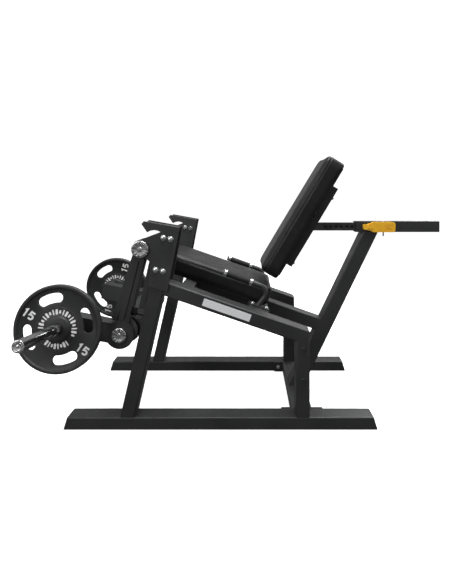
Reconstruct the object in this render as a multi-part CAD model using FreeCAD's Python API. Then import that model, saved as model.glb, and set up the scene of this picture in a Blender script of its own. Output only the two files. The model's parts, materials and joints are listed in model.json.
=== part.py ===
import FreeCAD, Part
import math
import os

os.makedirs("parts", exist_ok=True)

# Plate-loaded leg extension machine, millimetres.
# +X runs to the back of the machine, so the user on the seat faces -X.
# -Y is the user's left, +Z is up and the floor is Z = 0.
# Most pieces lie flat in a vertical X-Z plane and are given as X-Z outlines
# with a span in Y. Right-hand pieces mirror the left-hand ones.

# ---- stock sizes ----
TUBE_W = 100.0          # frame tube width across the machine
TUBE_T = 65.0           # frame tube thickness in the side view
WALL = 3.0              # tube wall
CAP_T = 4.0             # welded end plates that close the tubes
CORNER_R = 6.0          # rounded long corners of the tubes, outside and inside
CORNER_IN_R = 3.0
LONG_EDGE = 115.0       # tube corners are the edges longer than this

# ---- side frames, as distances from the middle plane ----
SIDE_IN = 320.0
SIDE_OUT = SIDE_IN + TUBE_W
RAIL_H = 60.0
RAIL_BOTTOM = (-876.0, 622.0)
RAIL_TOP = (-858.0, 604.0)
REAR_LEG_X = (233.0, 298.0)

# Front post: both edges lean back by the same slope.
POST_SLOPE = 0.2278
POST_FRONT_X0 = -619.6  # front edge carried down to the floor
POST_REAR_X0 = -551.4
POST_BELOW_HOOK = 4.0   # the posts end this far under the bracket plates' top edge

# Common top plane of the two side beams and the middle beam.
BEAM_SLOPE = 0.3466
BEAM_Z0 = 570.5
BEAM_ANGLE = math.atan(BEAM_SLOPE)

# ---- hook brackets ----
PLATE_T = 10.0
HOOK_TOP_Z0 = 907.5     # top edge of the bracket plates where X = 0
HOOK_TOP_SLOPE = 0.1782
BRACKET_BOLTS = [(-397.0, 916.0), (-363.0, 910.0), (-434.0, 764.0), (-399.0, 757.0)]
BOLT_R = 8.0
BOLT_HEAD_R = 14.0
BOLT_HEAD_H = 11.0

# ---- lever ----
PIVOT = (-507.0, 862.0)
ROLLER_AXIS = (-612.5, 448.0)
HORN_AXIS = (-877.0, 499.0)
LEVER_IN = 322.0
LEVER_OUT = 405.0
ARM_T = 50.0
WEIGHT_ARM_T = 96.0
BRACE_T = 28.0
HUB_R = 44.0
LOWER_HUB_R = 68.0
HUB_WALL = 6.0
PIVOT_R = 15.0
RUN_FIT = 0.08          # radial clearance of every turning or sliding fit
PIVOT_CAP_R = 41.0
AXLE_CAP_R = 35.8
AXLE_CAP_T = 14.0

# ---- lever stops, measured along the arm and back from its rear face ----
STOP_DOWN = 312.0
STOP_GAP = 0.4
STOP_RUBBER_T = 22.0
STOP_RUBBER_R = 20.0
STOP_STEM_R = 12.0
STOP_STEM_END = 90.0

# ---- plate horns and plates ----
HORN_R = 25.0
HORN_BOSS_R = 34.0
HORN_BOSS_LEN = 60.0
HORN_WALL = 5.0
HORN_CAP_T = 4.0
HORN_PLUG_LEN = 12.0
HORN_TILT = 5.8         # degrees, tip up
HORN_TIP = 845.0        # reach of the horn tip from the middle plane
PLATE_MID = 476.5       # middle of the plate from the middle plane
PLATE_R = 203.0
PLATE_W = 30.0
PLATE_WEB = 13.0
PLATE_BORE_R = 25.9
PLATE_GAP = 0.3         # between a plate and the flange behind it

# ---- shin roller ----
ROLLER_AXLE_R = 25.0
ROLLER_SLEEVE_R = 31.0
ROLLER_FOAM_R = 75.0
ROLLER_HALF = 292.0

# ---- seat ----
SEAT_X = (-450.0, 104.0)
SEAT_HALF = 206.0
SEAT_BOARD_T = 14.0
SEAT_TOTAL_T = 108.0

# ---- back pad ----
BACK_LEAN = 31.0        # degrees from vertical
BACK_FOOT = (61.0, 721.5)
BACK_LEN = 724.0
BACK_T = 98.0
BACK_HALF = 170.0
BOARD_T = 15.0
SPINE_T = 47.0

# ---- back rest slide ----
SLIDE_Z = 942.5
OUTER_HALF = 30.0
OUTER_X = (612.0, 1074.0)
INNER_HALF = 22.0
INNER_END_X = 850.0
HOLE_PITCH = 30.0
LOCK_X = 678.6
LOCK_R = 6.0

# ---- back post ----
BACK_POST_SLOPE = 0.486
BACK_POST_FRONT = 491.5   # front edge at Z = 600
BACK_POST_REAR = 575.5
BACK_POST_REF_Z = 600.0

# ---- grab handles ----
HANDLE_Y = 268.0
HANDLE_R = 13.5
GRIP_R = 16.5
COLLAR_R = 19.5


def outline(points, y0, y1):
    """Solid from an X-Z outline spanning y0 to y1."""
    low = min(y0, y1)
    ring = [FreeCAD.Vector(x, low, z) for x, z in points]
    ring.append(ring[0])
    face = Part.Face(Part.makePolygon(ring))
    return face.extrude(FreeCAD.Vector(0, abs(y1 - y0), 0))


def box(x0, x1, y0, y1, z0, z1):
    corner = FreeCAD.Vector(min(x0, x1), min(y0, y1), min(z0, z1))
    return Part.makeBox(abs(x1 - x0), abs(y1 - y0), abs(z1 - z0), corner)


def rod_y(centre, radius, y0, y1):
    """Cylinder along Y about an X-Z centre."""
    start = FreeCAD.Vector(centre[0], min(y0, y1), centre[1])
    return Part.makeCylinder(radius, abs(y1 - y0), start, FreeCAD.Vector(0, 1, 0))


def rod(start, end, radius):
    a = FreeCAD.Vector(*start)
    b = FreeCAD.Vector(*end)
    return Part.makeCylinder(radius, (b - a).Length, a, b - a)


def bar(p, q, thick, y0, y1, grow_p=0.0, grow_q=0.0):
    """Straight bar in the X-Z plane from p to q, lengthened at either end."""
    dx = q[0] - p[0]
    dz = q[1] - p[1]
    length = math.hypot(dx, dz)
    ux = dx / length
    uz = dz / length
    half = thick / 2.0
    ax = p[0] - ux * grow_p
    az = p[1] - uz * grow_p
    bx = q[0] + ux * grow_q
    bz = q[1] + uz * grow_q
    corners = [
        (ax - uz * half, az + ux * half),
        (bx - uz * half, bz + ux * half),
        (bx + uz * half, bz - ux * half),
        (ax + uz * half, az - ux * half),
    ]
    return outline(corners, y0, y1)


def shrink(points, gap):
    """X-Z outline of a convex polygon moved inwards by gap."""
    count = len(points)
    cx = sum(p[0] for p in points) / count
    cz = sum(p[1] for p in points) / count
    edges = []
    for i in range(count):
        a = points[i]
        b = points[(i + 1) % count]
        nx = b[1] - a[1]
        nz = a[0] - b[0]
        size = math.hypot(nx, nz)
        nx = nx / size
        nz = nz / size
        if (cx - a[0]) * nx + (cz - a[1]) * nz < 0:
            nx = -nx
            nz = -nz
        edges.append((nx, nz, nx * a[0] + nz * a[1] + gap))
    result = []
    for i in range(count):
        n1 = edges[i - 1]
        n2 = edges[i]
        det = n1[0] * n2[1] - n1[1] * n2[0]
        x = (n1[2] * n2[1] - n1[1] * n2[2]) / det
        z = (n1[0] * n2[2] - n1[2] * n2[0]) / det
        result.append((x, z))
    return result


def edge_span(edge):
    """Size of an edge's box along X, Y and Z."""
    b = edge.BoundBox
    return (b.XLength, b.YLength, b.ZLength)


def round_corners(shape, radius, along_y):
    """Round the four long corners of a tube."""
    chosen = []
    for edge in shape.Edges:
        sx, sy, sz = edge_span(edge)
        is_along_y = sy > 0.5
        if is_along_y == along_y and edge.Length > LONG_EDGE:
            chosen.append(edge)
    return shape.makeFillet(radius, chosen)


def soften(shape, y, radius):
    """Round the rim that lies in the plane Y = y."""
    chosen = []
    for edge in shape.Edges:
        sy = edge_span(edge)[1]
        if sy < 0.01 and abs(edge.CenterOfMass.y - y) < 0.01:
            chosen.append(edge)
    return shape.makeFillet(radius, chosen)


def closed_tube(points, y0, y1, radius=None):
    """Tube of the given outline, hollow inside and closed all round."""
    low = min(y0, y1)
    high = max(y0, y1)
    body = outline(points, low, high)
    body = round_corners(body, CORNER_R if radius is None else radius, False)
    inner = outline(shrink(points, WALL), low + WALL, high - WALL)
    return body.cut(round_corners(inner, CORNER_IN_R, False))


def across(points, half, rounded=True):
    """Tube running across the machine: closed by plates at both ends."""
    body = outline(points, -half, half)
    inner = outline(shrink(points, WALL), -half + CAP_T, half - CAP_T)
    if rounded:
        body = round_corners(body, CORNER_R, True)
        inner = round_corners(inner, CORNER_IN_R, True)
    return body.cut(inner)


def beam_top(x):
    return BEAM_Z0 - BEAM_SLOPE * x


def beam_point(x, depth):
    """Point under the beams' top plane at a depth square to the plane."""
    return (x - depth * math.sin(BEAM_ANGLE), beam_top(x) - depth * math.cos(BEAM_ANGLE))


def beam_block(x0, x1, d0, d1):
    """Rectangle lying along the beams' top plane."""
    return [beam_point(x0, d0), beam_point(x1, d0), beam_point(x1, d1), beam_point(x0, d1)]


def meet_beam(x_floor, slope, drop):
    """Where a leaning edge X = x_floor + slope Z meets the beam plane lowered by drop."""
    x = (x_floor + slope * (BEAM_Z0 - drop)) / (1.0 + slope * BEAM_SLOPE)
    return (x, beam_top(x) - drop)


def arc_points(centre, radius, start, stop, steps):
    result = []
    for i in range(steps + 1):
        a = math.radians(start + (stop - start) * i / steps)
        result.append((centre[0] + radius * math.cos(a), centre[1] + radius * math.sin(a)))
    return result


def mirror(shape):
    return shape.mirror(FreeCAD.Vector(0, 0, 0), FreeCAD.Vector(0, 1, 0))


def save(name, shape):
    shape.exportStep("parts/" + name + ".step")


def save_pair(name, left):
    save(name + "_left", left)
    save(name + "_right", mirror(left))


# Left-hand spans in Y.
Y_OUT = -SIDE_OUT
Y_IN = -SIDE_IN
BEAM_DROP = TUBE_T / math.cos(BEAM_ANGLE)

# ---- base rails ----
rail_outline = [
    (RAIL_BOTTOM[0], 0.0),
    (RAIL_BOTTOM[1], 0.0),
    (RAIL_TOP[1], RAIL_H),
    (RAIL_TOP[0], RAIL_H),
]
save_pair("base_rail", closed_tube(rail_outline, Y_OUT, Y_IN))


# ---- front posts, with the welded stem of the lever stop ----
def post_front(z):
    return POST_FRONT_X0 + POST_SLOPE * z


def post_rear(z):
    return POST_REAR_X0 + POST_SLOPE * z


def post_top(x_floor):
    """Post edge where it ends, just under the top edge of the bracket plates."""
    level = HOOK_TOP_Z0 - POST_BELOW_HOOK
    x = (x_floor + POST_SLOPE * level) / (1.0 + POST_SLOPE * HOOK_TOP_SLOPE)
    return (x, level - HOOK_TOP_SLOPE * x)


post_outline = [
    (post_front(RAIL_H), RAIL_H),
    (post_rear(RAIL_H), RAIL_H),
    post_top(POST_REAR_X0),
    post_top(POST_FRONT_X0),
]
front_post = closed_tube(post_outline, Y_OUT, Y_IN)

arm_dx = ROLLER_AXIS[0] - PIVOT[0]
arm_dz = ROLLER_AXIS[1] - PIVOT[1]
arm_len = math.hypot(arm_dx, arm_dz)
arm_u = (arm_dx / arm_len, arm_dz / arm_len)
arm_rear = (-arm_u[1], arm_u[0])  # square to the arm, towards the post
LEVER_MID_Y = -(LEVER_IN + LEVER_OUT) / 2.0


def stop_point(distance):
    """Point on the stop's axis at a distance behind the arm's rear face."""
    reach = ARM_T / 2.0 + distance
    x = PIVOT[0] + arm_u[0] * STOP_DOWN + arm_rear[0] * reach
    z = PIVOT[1] + arm_u[1] * STOP_DOWN + arm_rear[1] * reach
    return (x, LEVER_MID_Y, z)


stem = rod(stop_point(STOP_RUBBER_T), stop_point(STOP_STEM_END), STOP_STEM_R)
post_body = outline(post_outline, Y_OUT, Y_IN)
front_post = front_post.fuse(stem.cut(post_body))

for bx, bz in BRACKET_BOLTS:
    front_post = front_post.cut(rod_y((bx, bz), BOLT_R, Y_OUT - 1, Y_IN + 1))
save_pair("front_post", front_post)

# ---- guard bars standing just ahead of the posts, on two lugs each ----
GUARD_Z = (572.0, 832.0)
GUARD_AHEAD = (34.0, 4.0)   # front and rear edges, ahead of the post's front face
GUARD_Y = (-400.0, -388.0)
LUG_LEVELS = ((GUARD_Z[0], 596.0), (742.0, GUARD_Z[1]))


def guard_block(z0, z1, front, rear):
    """Upright block along the post's front face, between two distances ahead of it."""
    corners = [
        (post_front(z0) - front, z0),
        (post_front(z0) - rear, z0),
        (post_front(z1) - rear, z1),
        (post_front(z1) - front, z1),
    ]
    return outline(corners, *GUARD_Y)


guard = guard_block(*GUARD_Z, *GUARD_AHEAD)
for low, high in LUG_LEVELS:
    guard = guard.fuse(guard_block(low, high, GUARD_AHEAD[1], 0.0))
save("post_guards", Part.makeCompound([guard, mirror(guard)]))

bumper = rod(stop_point(STOP_GAP), stop_point(STOP_RUBBER_T), STOP_RUBBER_R)
save("stop_bumpers", Part.makeCompound([bumper, mirror(bumper)]))

# ---- side beams and rear legs, mitred together ----
beam_rear_top = (REAR_LEG_X[1], beam_top(REAR_LEG_X[1]))
beam_rear_low = (REAR_LEG_X[0], beam_top(REAR_LEG_X[0]) - BEAM_DROP)
beam_outline = [
    meet_beam(POST_REAR_X0, POST_SLOPE, 0.0),
    beam_rear_top,
    beam_rear_low,
    meet_beam(POST_REAR_X0, POST_SLOPE, BEAM_DROP),
]
save_pair("top_beam", closed_tube(beam_outline, Y_OUT, Y_IN))

leg_outline = [
    (REAR_LEG_X[0], RAIL_H),
    (REAR_LEG_X[1], RAIL_H),
    beam_rear_top,
    beam_rear_low,
]
rear_leg = closed_tube(leg_outline, Y_OUT, Y_IN)
LEG_BOLTS = [(267.0, 385.0), (267.0, 237.0)]
LEG_BOLT_R = 6.0
LEG_BOLT_HEAD_R = 10.0
LEG_BOLT_HEAD_H = 7.0
LEG_BOLT_LEN = 20.0
leg_bolts = None
for centre in LEG_BOLTS:
    shank = rod_y(centre, LEG_BOLT_R, Y_OUT, Y_OUT + LEG_BOLT_LEN)
    head = rod_y(centre, LEG_BOLT_HEAD_R, Y_OUT - LEG_BOLT_HEAD_H, Y_OUT)
    bolt = head.fuse(shank)
    rear_leg = rear_leg.cut(shank)
    leg_bolts = bolt if leg_bolts is None else leg_bolts.fuse(bolt)
save_pair("rear_leg", rear_leg)
save("rear_leg_bolts", Part.makeCompound([leg_bolts, mirror(leg_bolts)]))

# ---- blank name plates on the outer faces of the side beams ----
NAME_PLATE_X = (-200.0, 25.0)
NAME_PLATE_DEPTH = (13.0, 49.0)
NAME_PLATE_T = 1.5
plate_outline = beam_block(*NAME_PLATE_X, *NAME_PLATE_DEPTH)
name_plate = outline(plate_outline, Y_OUT - NAME_PLATE_T, Y_OUT)
save("name_plates", Part.makeCompound([name_plate, mirror(name_plate)]))

# ---- hook brackets: two bolted plates and a wear block on each post ----
# The corner points are given one by one, because the outline is a free shape.
lobe = arc_points(PIVOT, PIVOT_CAP_R + 1.0, 112.0, 292.0, 18)
cheek_outline = [
    (-491.0, HOOK_TOP_Z0 + HOOK_TOP_SLOPE * 491.0),
    (-322.0, HOOK_TOP_Z0 + HOOK_TOP_SLOPE * 322.0),
    (-379.0, 661.0),
    (-468.0, 684.0),
    (-457.0, 800.0),
]
cheek_outline += list(reversed(lobe))
cheek_outline += [
    (-494.0, 912.0),
    (-411.5, 943.0),
    (-423.0, 949.5),
    (-441.0, 952.5),
    (-459.0, 950.0),
    (-475.0, 942.0),
    (-502.0, 982.0),
]


def cheek(y0, y1):
    shape = outline(cheek_outline, y0, y1)
    shape = shape.cut(rod_y(PIVOT, PIVOT_R, y0 - 1, y1 + 1))
    for centre in BRACKET_BOLTS:
        shape = shape.cut(rod_y(centre, BOLT_R, y0 - 1, y1 + 1))
    return shape


save_pair("hook_plate_outer", cheek(Y_OUT - PLATE_T, Y_OUT))
save_pair("hook_plate_inner", cheek(Y_IN, Y_IN + PLATE_T))

liner_outline = [
    (-489.5, 990.5),
    (-399.0, 974.0),
    (-403.0, 957.5),
    (-423.0, 953.5),
    (-441.0, 956.5),
    (-459.0, 954.0),
    (-474.0, 947.0),
    (-498.5, 982.0),
]
save_pair("hook_wear_block", outline(liner_outline, Y_OUT, Y_IN))

bolt_group = []
for centre in BRACKET_BOLTS:
    outer_face = Y_OUT - PLATE_T
    inner_face = Y_IN + PLATE_T
    head = rod_y(centre, BOLT_HEAD_R, outer_face - BOLT_HEAD_H, outer_face)
    head = soften(head, outer_face - BOLT_HEAD_H, 3.0)
    nut = rod_y(centre, BOLT_HEAD_R - 1.0, inner_face, inner_face + BOLT_HEAD_H)
    shank = rod_y(centre, BOLT_R, outer_face, inner_face)
    bolt_group.append(head.fuse([nut, shank]))
save_pair("bracket_bolts", Part.makeCompound(bolt_group))

# ---- pivot axles of the lever, with a broad cap outside ----
axle_outer = Y_OUT - PLATE_T
axle_inner = Y_IN + PLATE_T
shaft = rod_y(PIVOT, PIVOT_R, axle_outer, axle_inner)
broad_cap = rod_y(PIVOT, PIVOT_CAP_R, axle_outer - AXLE_CAP_T, axle_outer)
broad_cap = soften(broad_cap, axle_outer - AXLE_CAP_T, 5.0)
INNER_CAP_R = 22.0
INNER_CAP_T = 8.0
inner_cap = rod_y(PIVOT, INNER_CAP_R, axle_inner, axle_inner + INNER_CAP_T)
save_pair("pivot_axle", shaft.fuse([broad_cap, inner_cap]))

# ---- lever side arms: pivot hub, arm tube and round lower end ----
lever_out = -LEVER_OUT
lever_in = -LEVER_IN
HUB_GAP = 1.5
hub = rod_y(PIVOT, HUB_R, Y_OUT + HUB_GAP, Y_IN - HUB_GAP)
ARM_INSET = 5.0  # the arm tube is this much narrower than its hubs on each side
arm_y = (lever_out + ARM_INSET, lever_in - ARM_INSET)
arm_solid = bar(PIVOT, ROLLER_AXIS, ARM_T, arm_y[0], arm_y[1])
arm_void = bar(
    PIVOT, ROLLER_AXIS, ARM_T - 2 * WALL, arm_y[0] + WALL, arm_y[1] - WALL,
    -HUB_R - CAP_T, -LOWER_HUB_R - CAP_T,
)
lower_hub = rod_y(ROLLER_AXIS, LOWER_HUB_R, lever_out, lever_in)
hub_void = rod_y(ROLLER_AXIS, LOWER_HUB_R - HUB_WALL, lever_out + HUB_WALL, lever_in - HUB_WALL)
hub_void = hub_void.cut(rod_y(ROLLER_AXIS, AXLE_CAP_R, lever_out, lever_in))
# A flat strip stands proud of the outer face along the arm's front edge.
STRIP_W = 26.0
STRIP_T = 6.0
STRIP_ENDS = (62.0, 71.0)  # clear of the pivot hub and of the lower hub
strip_shift = (ARM_T - STRIP_W) / 2.0
strip_top = (PIVOT[0] - arm_rear[0] * strip_shift, PIVOT[1] - arm_rear[1] * strip_shift)
strip_foot = (
    ROLLER_AXIS[0] - arm_rear[0] * strip_shift,
    ROLLER_AXIS[1] - arm_rear[1] * strip_shift,
)
strip = bar(
    strip_top, strip_foot, STRIP_W, arm_y[0] - STRIP_T, arm_y[0],
    -STRIP_ENDS[0], -STRIP_ENDS[1],
)
lever_arm = hub.fuse([arm_solid, lower_hub]).cut(arm_void).cut(hub_void).fuse(strip)
lever_arm = lever_arm.cut(rod_y(PIVOT, PIVOT_R + RUN_FIT, Y_OUT, Y_IN))
save_pair("lever_arm", lever_arm)

# ---- weight arms, running forward from the lower hubs ----
WEIGHT_ARM_NOSE = 50.0  # the arm runs on this far past the horn's axis
weight_solid = bar(
    HORN_AXIS, ROLLER_AXIS, WEIGHT_ARM_T, lever_out, lever_in, WEIGHT_ARM_NOSE, 0.0
)
weight_void = bar(
    HORN_AXIS, ROLLER_AXIS, WEIGHT_ARM_T - 2 * WALL, lever_out + WALL, lever_in - WALL,
    WEIGHT_ARM_NOSE - CAP_T, -LOWER_HUB_R - CAP_T,
)
weight_arm = weight_solid.cut(weight_void).cut(lower_hub).cut(arm_solid)
save_pair("weight_arm", weight_arm)

# ---- braces from the pivot hub to the weight arm ----
BRACE_TOP = (-528.0, 861.0)
BRACE_FOOT = (-643.0, 515.0)
brace_solid = bar(
    BRACE_TOP, BRACE_FOOT, BRACE_T, arm_y[0] + ARM_INSET, arm_y[1] - ARM_INSET
)
brace = brace_solid.cut(hub).cut(arm_solid).cut(weight_solid).cut(lower_hub)
save("lever_braces", Part.makeCompound([brace, mirror(brace)]))

# ---- plate horns, tilted tip up ----
tilt = math.tan(math.radians(HORN_TILT))


def horn_point(reach):
    """Point on the left horn's axis at a distance from the middle plane."""
    return (HORN_AXIS[0], -reach, HORN_AXIS[1] + (reach - PLATE_MID) * tilt)


horn_dir = FreeCAD.Vector(0, -1, tilt)
horn_dir.normalize()


def on_horn(reach, offset):
    base = FreeCAD.Vector(*horn_point(reach))
    return base + horn_dir * offset


FLANGE_R = 48.0
FLANGE_T = 10.0
plate_inner = on_horn(PLATE_MID, -PLATE_W / 2.0)
horn_start = on_horn(LEVER_OUT - 15.0, 0.0)
horn_end = on_horn(HORN_TIP, 0.0)
horn = Part.makeCylinder(HORN_R, (horn_end - horn_start).Length, horn_start, horn_dir)
boss = Part.makeCylinder(HORN_BOSS_R, HORN_BOSS_LEN, horn_start, horn_dir)
flange_start = plate_inner - horn_dir * (FLANGE_T + PLATE_GAP)
flange = Part.makeCylinder(FLANGE_R, FLANGE_T, flange_start, horn_dir)
beyond_flange = Part.makeCylinder(60.0, 200.0, flange_start, horn_dir)
boss = boss.cut(beyond_flange)
outside_arm = box(-1000.0, -740.0, -HORN_TIP - 60.0, lever_out, 300.0, 700.0)
horn = horn.fuse([boss, flange]).common(outside_arm)
horn_void = Part.makeCylinder(
    HORN_R - HORN_WALL, HORN_TIP - LEVER_OUT, on_horn(LEVER_OUT + 15.0, 0.0), horn_dir
)
horn = horn.cut(horn_void)
save_pair("plate_horn", horn)

cap_plug = Part.makeCylinder(
    HORN_R - HORN_WALL, HORN_PLUG_LEN, horn_end - horn_dir * HORN_PLUG_LEN, horn_dir
)
cap_disc = Part.makeCylinder(HORN_R, HORN_CAP_T, horn_end, horn_dir)
horn_cap = cap_disc.fuse(cap_plug)
save("horn_caps", Part.makeCompound([horn_cap, mirror(horn_cap)]))


# ---- weight plates ----
PLATE_HUB_R = 56.0
PLATE_RIM = 16.0        # width of the raised rim
PLATE_DRAFT = 6.0       # slope between the raised parts and the web
PLATE_CHAMFER = 4.0


def plate_profile():
    """Half section of the plate, as radius and distance from its middle."""
    half = PLATE_W / 2.0
    web = PLATE_WEB / 2.0
    front = [
        (PLATE_R, half - PLATE_CHAMFER),
        (PLATE_R - PLATE_CHAMFER, half),
        (PLATE_R - PLATE_RIM, half),
        (PLATE_R - PLATE_RIM - PLATE_DRAFT, web),
        (PLATE_HUB_R + PLATE_DRAFT, web),
        (PLATE_HUB_R, half),
        (PLATE_BORE_R, half),
    ]
    back = [(r, -h) for r, h in reversed(front)]
    return back + front


SLOT_IN = 0.59 * PLATE_R
SLOT_OUT = 0.81 * PLATE_R
SLOT_CENTRES = [16.0, 106.0, 196.0, 286.0]
SLOT_HALF_ANGLE = 15.0


def slot_cutter(centre_angle):
    """Curved grip slot with round ends, cut along Z about the origin."""
    mid = (SLOT_IN + SLOT_OUT) / 2.0
    half = (SLOT_OUT - SLOT_IN) / 2.0
    tall = PLATE_W + 2.0
    low = FreeCAD.Vector(0, 0, -tall / 2.0)
    axis = FreeCAD.Vector(0, 0, 1)
    ring = Part.makeCylinder(SLOT_OUT, tall, low, axis, 2 * SLOT_HALF_ANGLE)
    ring = ring.cut(Part.makeCylinder(SLOT_IN, tall, low, axis))
    ring.rotate(FreeCAD.Vector(0, 0, 0), axis, centre_angle - SLOT_HALF_ANGLE)
    ends = []
    for side in (-1, 1):
        a = math.radians(centre_angle + side * SLOT_HALF_ANGLE)
        spot = FreeCAD.Vector(mid * math.cos(a), mid * math.sin(a), -tall / 2.0)
        ends.append(Part.makeCylinder(half, tall, spot, axis))
    return ring.fuse(ends)


def weight_plate(turn):
    """Plate on the left horn, with its slots turned this far round."""
    ring = [FreeCAD.Vector(r, 0, h) for r, h in plate_profile()]
    ring.append(ring[0])
    plate = Part.Face(Part.makePolygon(ring)).revolve(
        FreeCAD.Vector(0, 0, 0), FreeCAD.Vector(0, 0, 1), 360
    )
    for angle in SLOT_CENTRES:
        plate = plate.cut(slot_cutter(angle + turn))
    # Stand the plate up facing -Y, then lean it with the horn.
    plate.rotate(FreeCAD.Vector(0, 0, 0), FreeCAD.Vector(1, 0, 0), 90)
    plate.rotate(FreeCAD.Vector(0, 0, 0), FreeCAD.Vector(1, 0, 0), -HORN_TILT)
    plate.translate(FreeCAD.Vector(*horn_point(PLATE_MID)))
    return plate


# The right plate was loaded with its slots turned a little further round.
RIGHT_PLATE_TURN = 19.0
save("weight_plate_left", weight_plate(0.0))
save("weight_plate_right", mirror(weight_plate(RIGHT_PLATE_TURN)))

# ---- roller axle between the lever arms, and its caps outside ----
axle = rod_y(ROLLER_AXIS, ROLLER_AXLE_R, lever_in, -lever_in)
axle_void_r = ROLLER_AXLE_R - CAP_T
axle = axle.cut(rod_y(ROLLER_AXIS, axle_void_r, lever_in + CAP_T, -lever_in - CAP_T))
save("roller_axle", axle)
axle_cap = rod_y(ROLLER_AXIS, AXLE_CAP_R, lever_out - AXLE_CAP_T, lever_out)
axle_cap = soften(axle_cap, lever_out - AXLE_CAP_T, 5.0)
save("axle_caps", Part.makeCompound([axle_cap, mirror(axle_cap)]))

SLEEVE_PAST_FOAM = 3.0
sleeve_half = ROLLER_HALF + SLEEVE_PAST_FOAM
sleeve = rod_y(ROLLER_AXIS, ROLLER_SLEEVE_R, -sleeve_half, sleeve_half)
sleeve = sleeve.cut(
    rod_y(ROLLER_AXIS, ROLLER_AXLE_R + RUN_FIT, -sleeve_half - 1.0, sleeve_half + 1.0)
)
save("roller_sleeve", sleeve)
foam = rod_y(ROLLER_AXIS, ROLLER_FOAM_R, -ROLLER_HALF, ROLLER_HALF)
foam = foam.cut(rod_y(ROLLER_AXIS, ROLLER_SLEEVE_R, -ROLLER_HALF - 1.0, ROLLER_HALF + 1.0))
save("roller_foam", foam)

# ---- rear cross tube on the floor, with bolted end flanges ----
CROSS_X = (222.0, 322.0)
FLANGE_X = (169.0, 375.0)
CROSS_BOLTS_X = (195.0, 349.0)
CROSS_BOLT_R = 11.0
CROSS_BOLT_H = 8.0
cross_half = SIDE_IN - PLATE_T
cross_outline = [
    (CROSS_X[0], 0.0),
    (CROSS_X[1], 0.0),
    (CROSS_X[1], RAIL_H),
    (CROSS_X[0], RAIL_H),
]
cross_tube = across(cross_outline, cross_half)
cross_bolts = []
for side in (-1, 1):
    end_plate = box(
        FLANGE_X[0], FLANGE_X[1], side * cross_half, side * SIDE_IN, 0.0, RAIL_H
    )
    cross_tube = cross_tube.fuse(end_plate)
    for bolt_x in CROSS_BOLTS_X:
        seat_y = side * cross_half
        head_y = side * (cross_half - CROSS_BOLT_H)
        head = rod_y((bolt_x, RAIL_H / 2.0), CROSS_BOLT_R, seat_y, head_y)
        cross_bolts.append(head)
save("rear_cross_tube", cross_tube)
save("cross_tube_bolts", Part.makeCompound(cross_bolts))

# ---- front cross tube and middle beam, under the seat ----
FRONT_CROSS_X = (-323.0, -263.0)
front_cross = across(beam_block(FRONT_CROSS_X[0], FRONT_CROSS_X[1], 0.0, TUBE_T), SIDE_IN)
save("front_cross_tube", front_cross)


def back_post_front(z):
    return BACK_POST_FRONT + BACK_POST_SLOPE * (z - BACK_POST_REF_Z)


def back_post_rear(z):
    return BACK_POST_REAR + BACK_POST_SLOPE * (z - BACK_POST_REF_Z)


HALF_TUBE = TUBE_W / 2.0
front_floor = BACK_POST_FRONT - BACK_POST_SLOPE * BACK_POST_REF_Z
spine_outline = [
    beam_point(FRONT_CROSS_X[1], 0.0),
    meet_beam(front_floor, BACK_POST_SLOPE, 0.0),
    meet_beam(front_floor, BACK_POST_SLOPE, BEAM_DROP),
    beam_point(FRONT_CROSS_X[1], TUBE_T),
]
save("middle_beam", closed_tube(spine_outline, -HALF_TUBE, HALF_TUBE))

# ---- back post, from the rear cross tube up to the slide ----
slide_low = SLIDE_Z - OUTER_HALF
slide_high = SLIDE_Z + OUTER_HALF
back_post_outline = [
    (back_post_front(RAIL_H), RAIL_H),
    (back_post_rear(RAIL_H), RAIL_H),
    (back_post_rear(slide_low), slide_low),
    (back_post_front(slide_low), slide_low),
]
save("back_post", closed_tube(back_post_outline, -HALF_TUBE, HALF_TUBE))

# ---- fixed slide tube, its bushing and end plug ----
outer_tube = box(OUTER_X[0], OUTER_X[1], -OUTER_HALF, OUTER_HALF, slide_low, slide_high)
bore_half = OUTER_HALF - WALL
outer_tube = outer_tube.cut(
    box(
        OUTER_X[0] - 1, OUTER_X[1] + 1, -bore_half, bore_half,
        SLIDE_Z - bore_half, SLIDE_Z + bore_half,
    )
)
LUG_X = 756.0
LUG_Y = -50.0
LUG_HALF = 10.0
lug = box(
    LUG_X - LUG_HALF, LUG_X + LUG_HALF, LUG_Y - 7.0, -OUTER_HALF,
    SLIDE_Z - LUG_HALF, SLIDE_Z + LUG_HALF,
)
outer_tube = outer_tube.fuse(lug)
HINGE_PIN_R = 4.0
HINGE_PIN_Z = (892.0, 976.0)
hinge_pin = Part.makeCylinder(
    HINGE_PIN_R, HINGE_PIN_Z[1] - HINGE_PIN_Z[0],
    FreeCAD.Vector(LUG_X, LUG_Y, HINGE_PIN_Z[0]), FreeCAD.Vector(0, 0, 1),
)
outer_tube = outer_tube.cut(hinge_pin)
outer_tube = outer_tube.cut(rod_y((LOCK_X, SLIDE_Z), LOCK_R + RUN_FIT, -OUTER_HALF - 1, 0.0))
save("slide_tube", outer_tube)
save("release_hinge_pin", hinge_pin)

BUSH_LEN = 56.0
BUSH_RIM = 5.0
inner_hole = INNER_HALF + RUN_FIT
bushing = box(
    OUTER_X[0] - BUSH_RIM, OUTER_X[0] + BUSH_LEN, -bore_half, bore_half,
    SLIDE_Z - bore_half, SLIDE_Z + bore_half,
)
bush_rim = box(
    OUTER_X[0] - BUSH_RIM, OUTER_X[0], -OUTER_HALF, OUTER_HALF, slide_low, slide_high
)
bushing = bushing.fuse(bush_rim).cut(
    box(
        OUTER_X[0] - BUSH_RIM - 1.0, OUTER_X[0] + BUSH_LEN + 1.0, -inner_hole, inner_hole,
        SLIDE_Z - inner_hole, SLIDE_Z + inner_hole,
    )
)
save("slide_bushing", bushing)

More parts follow.
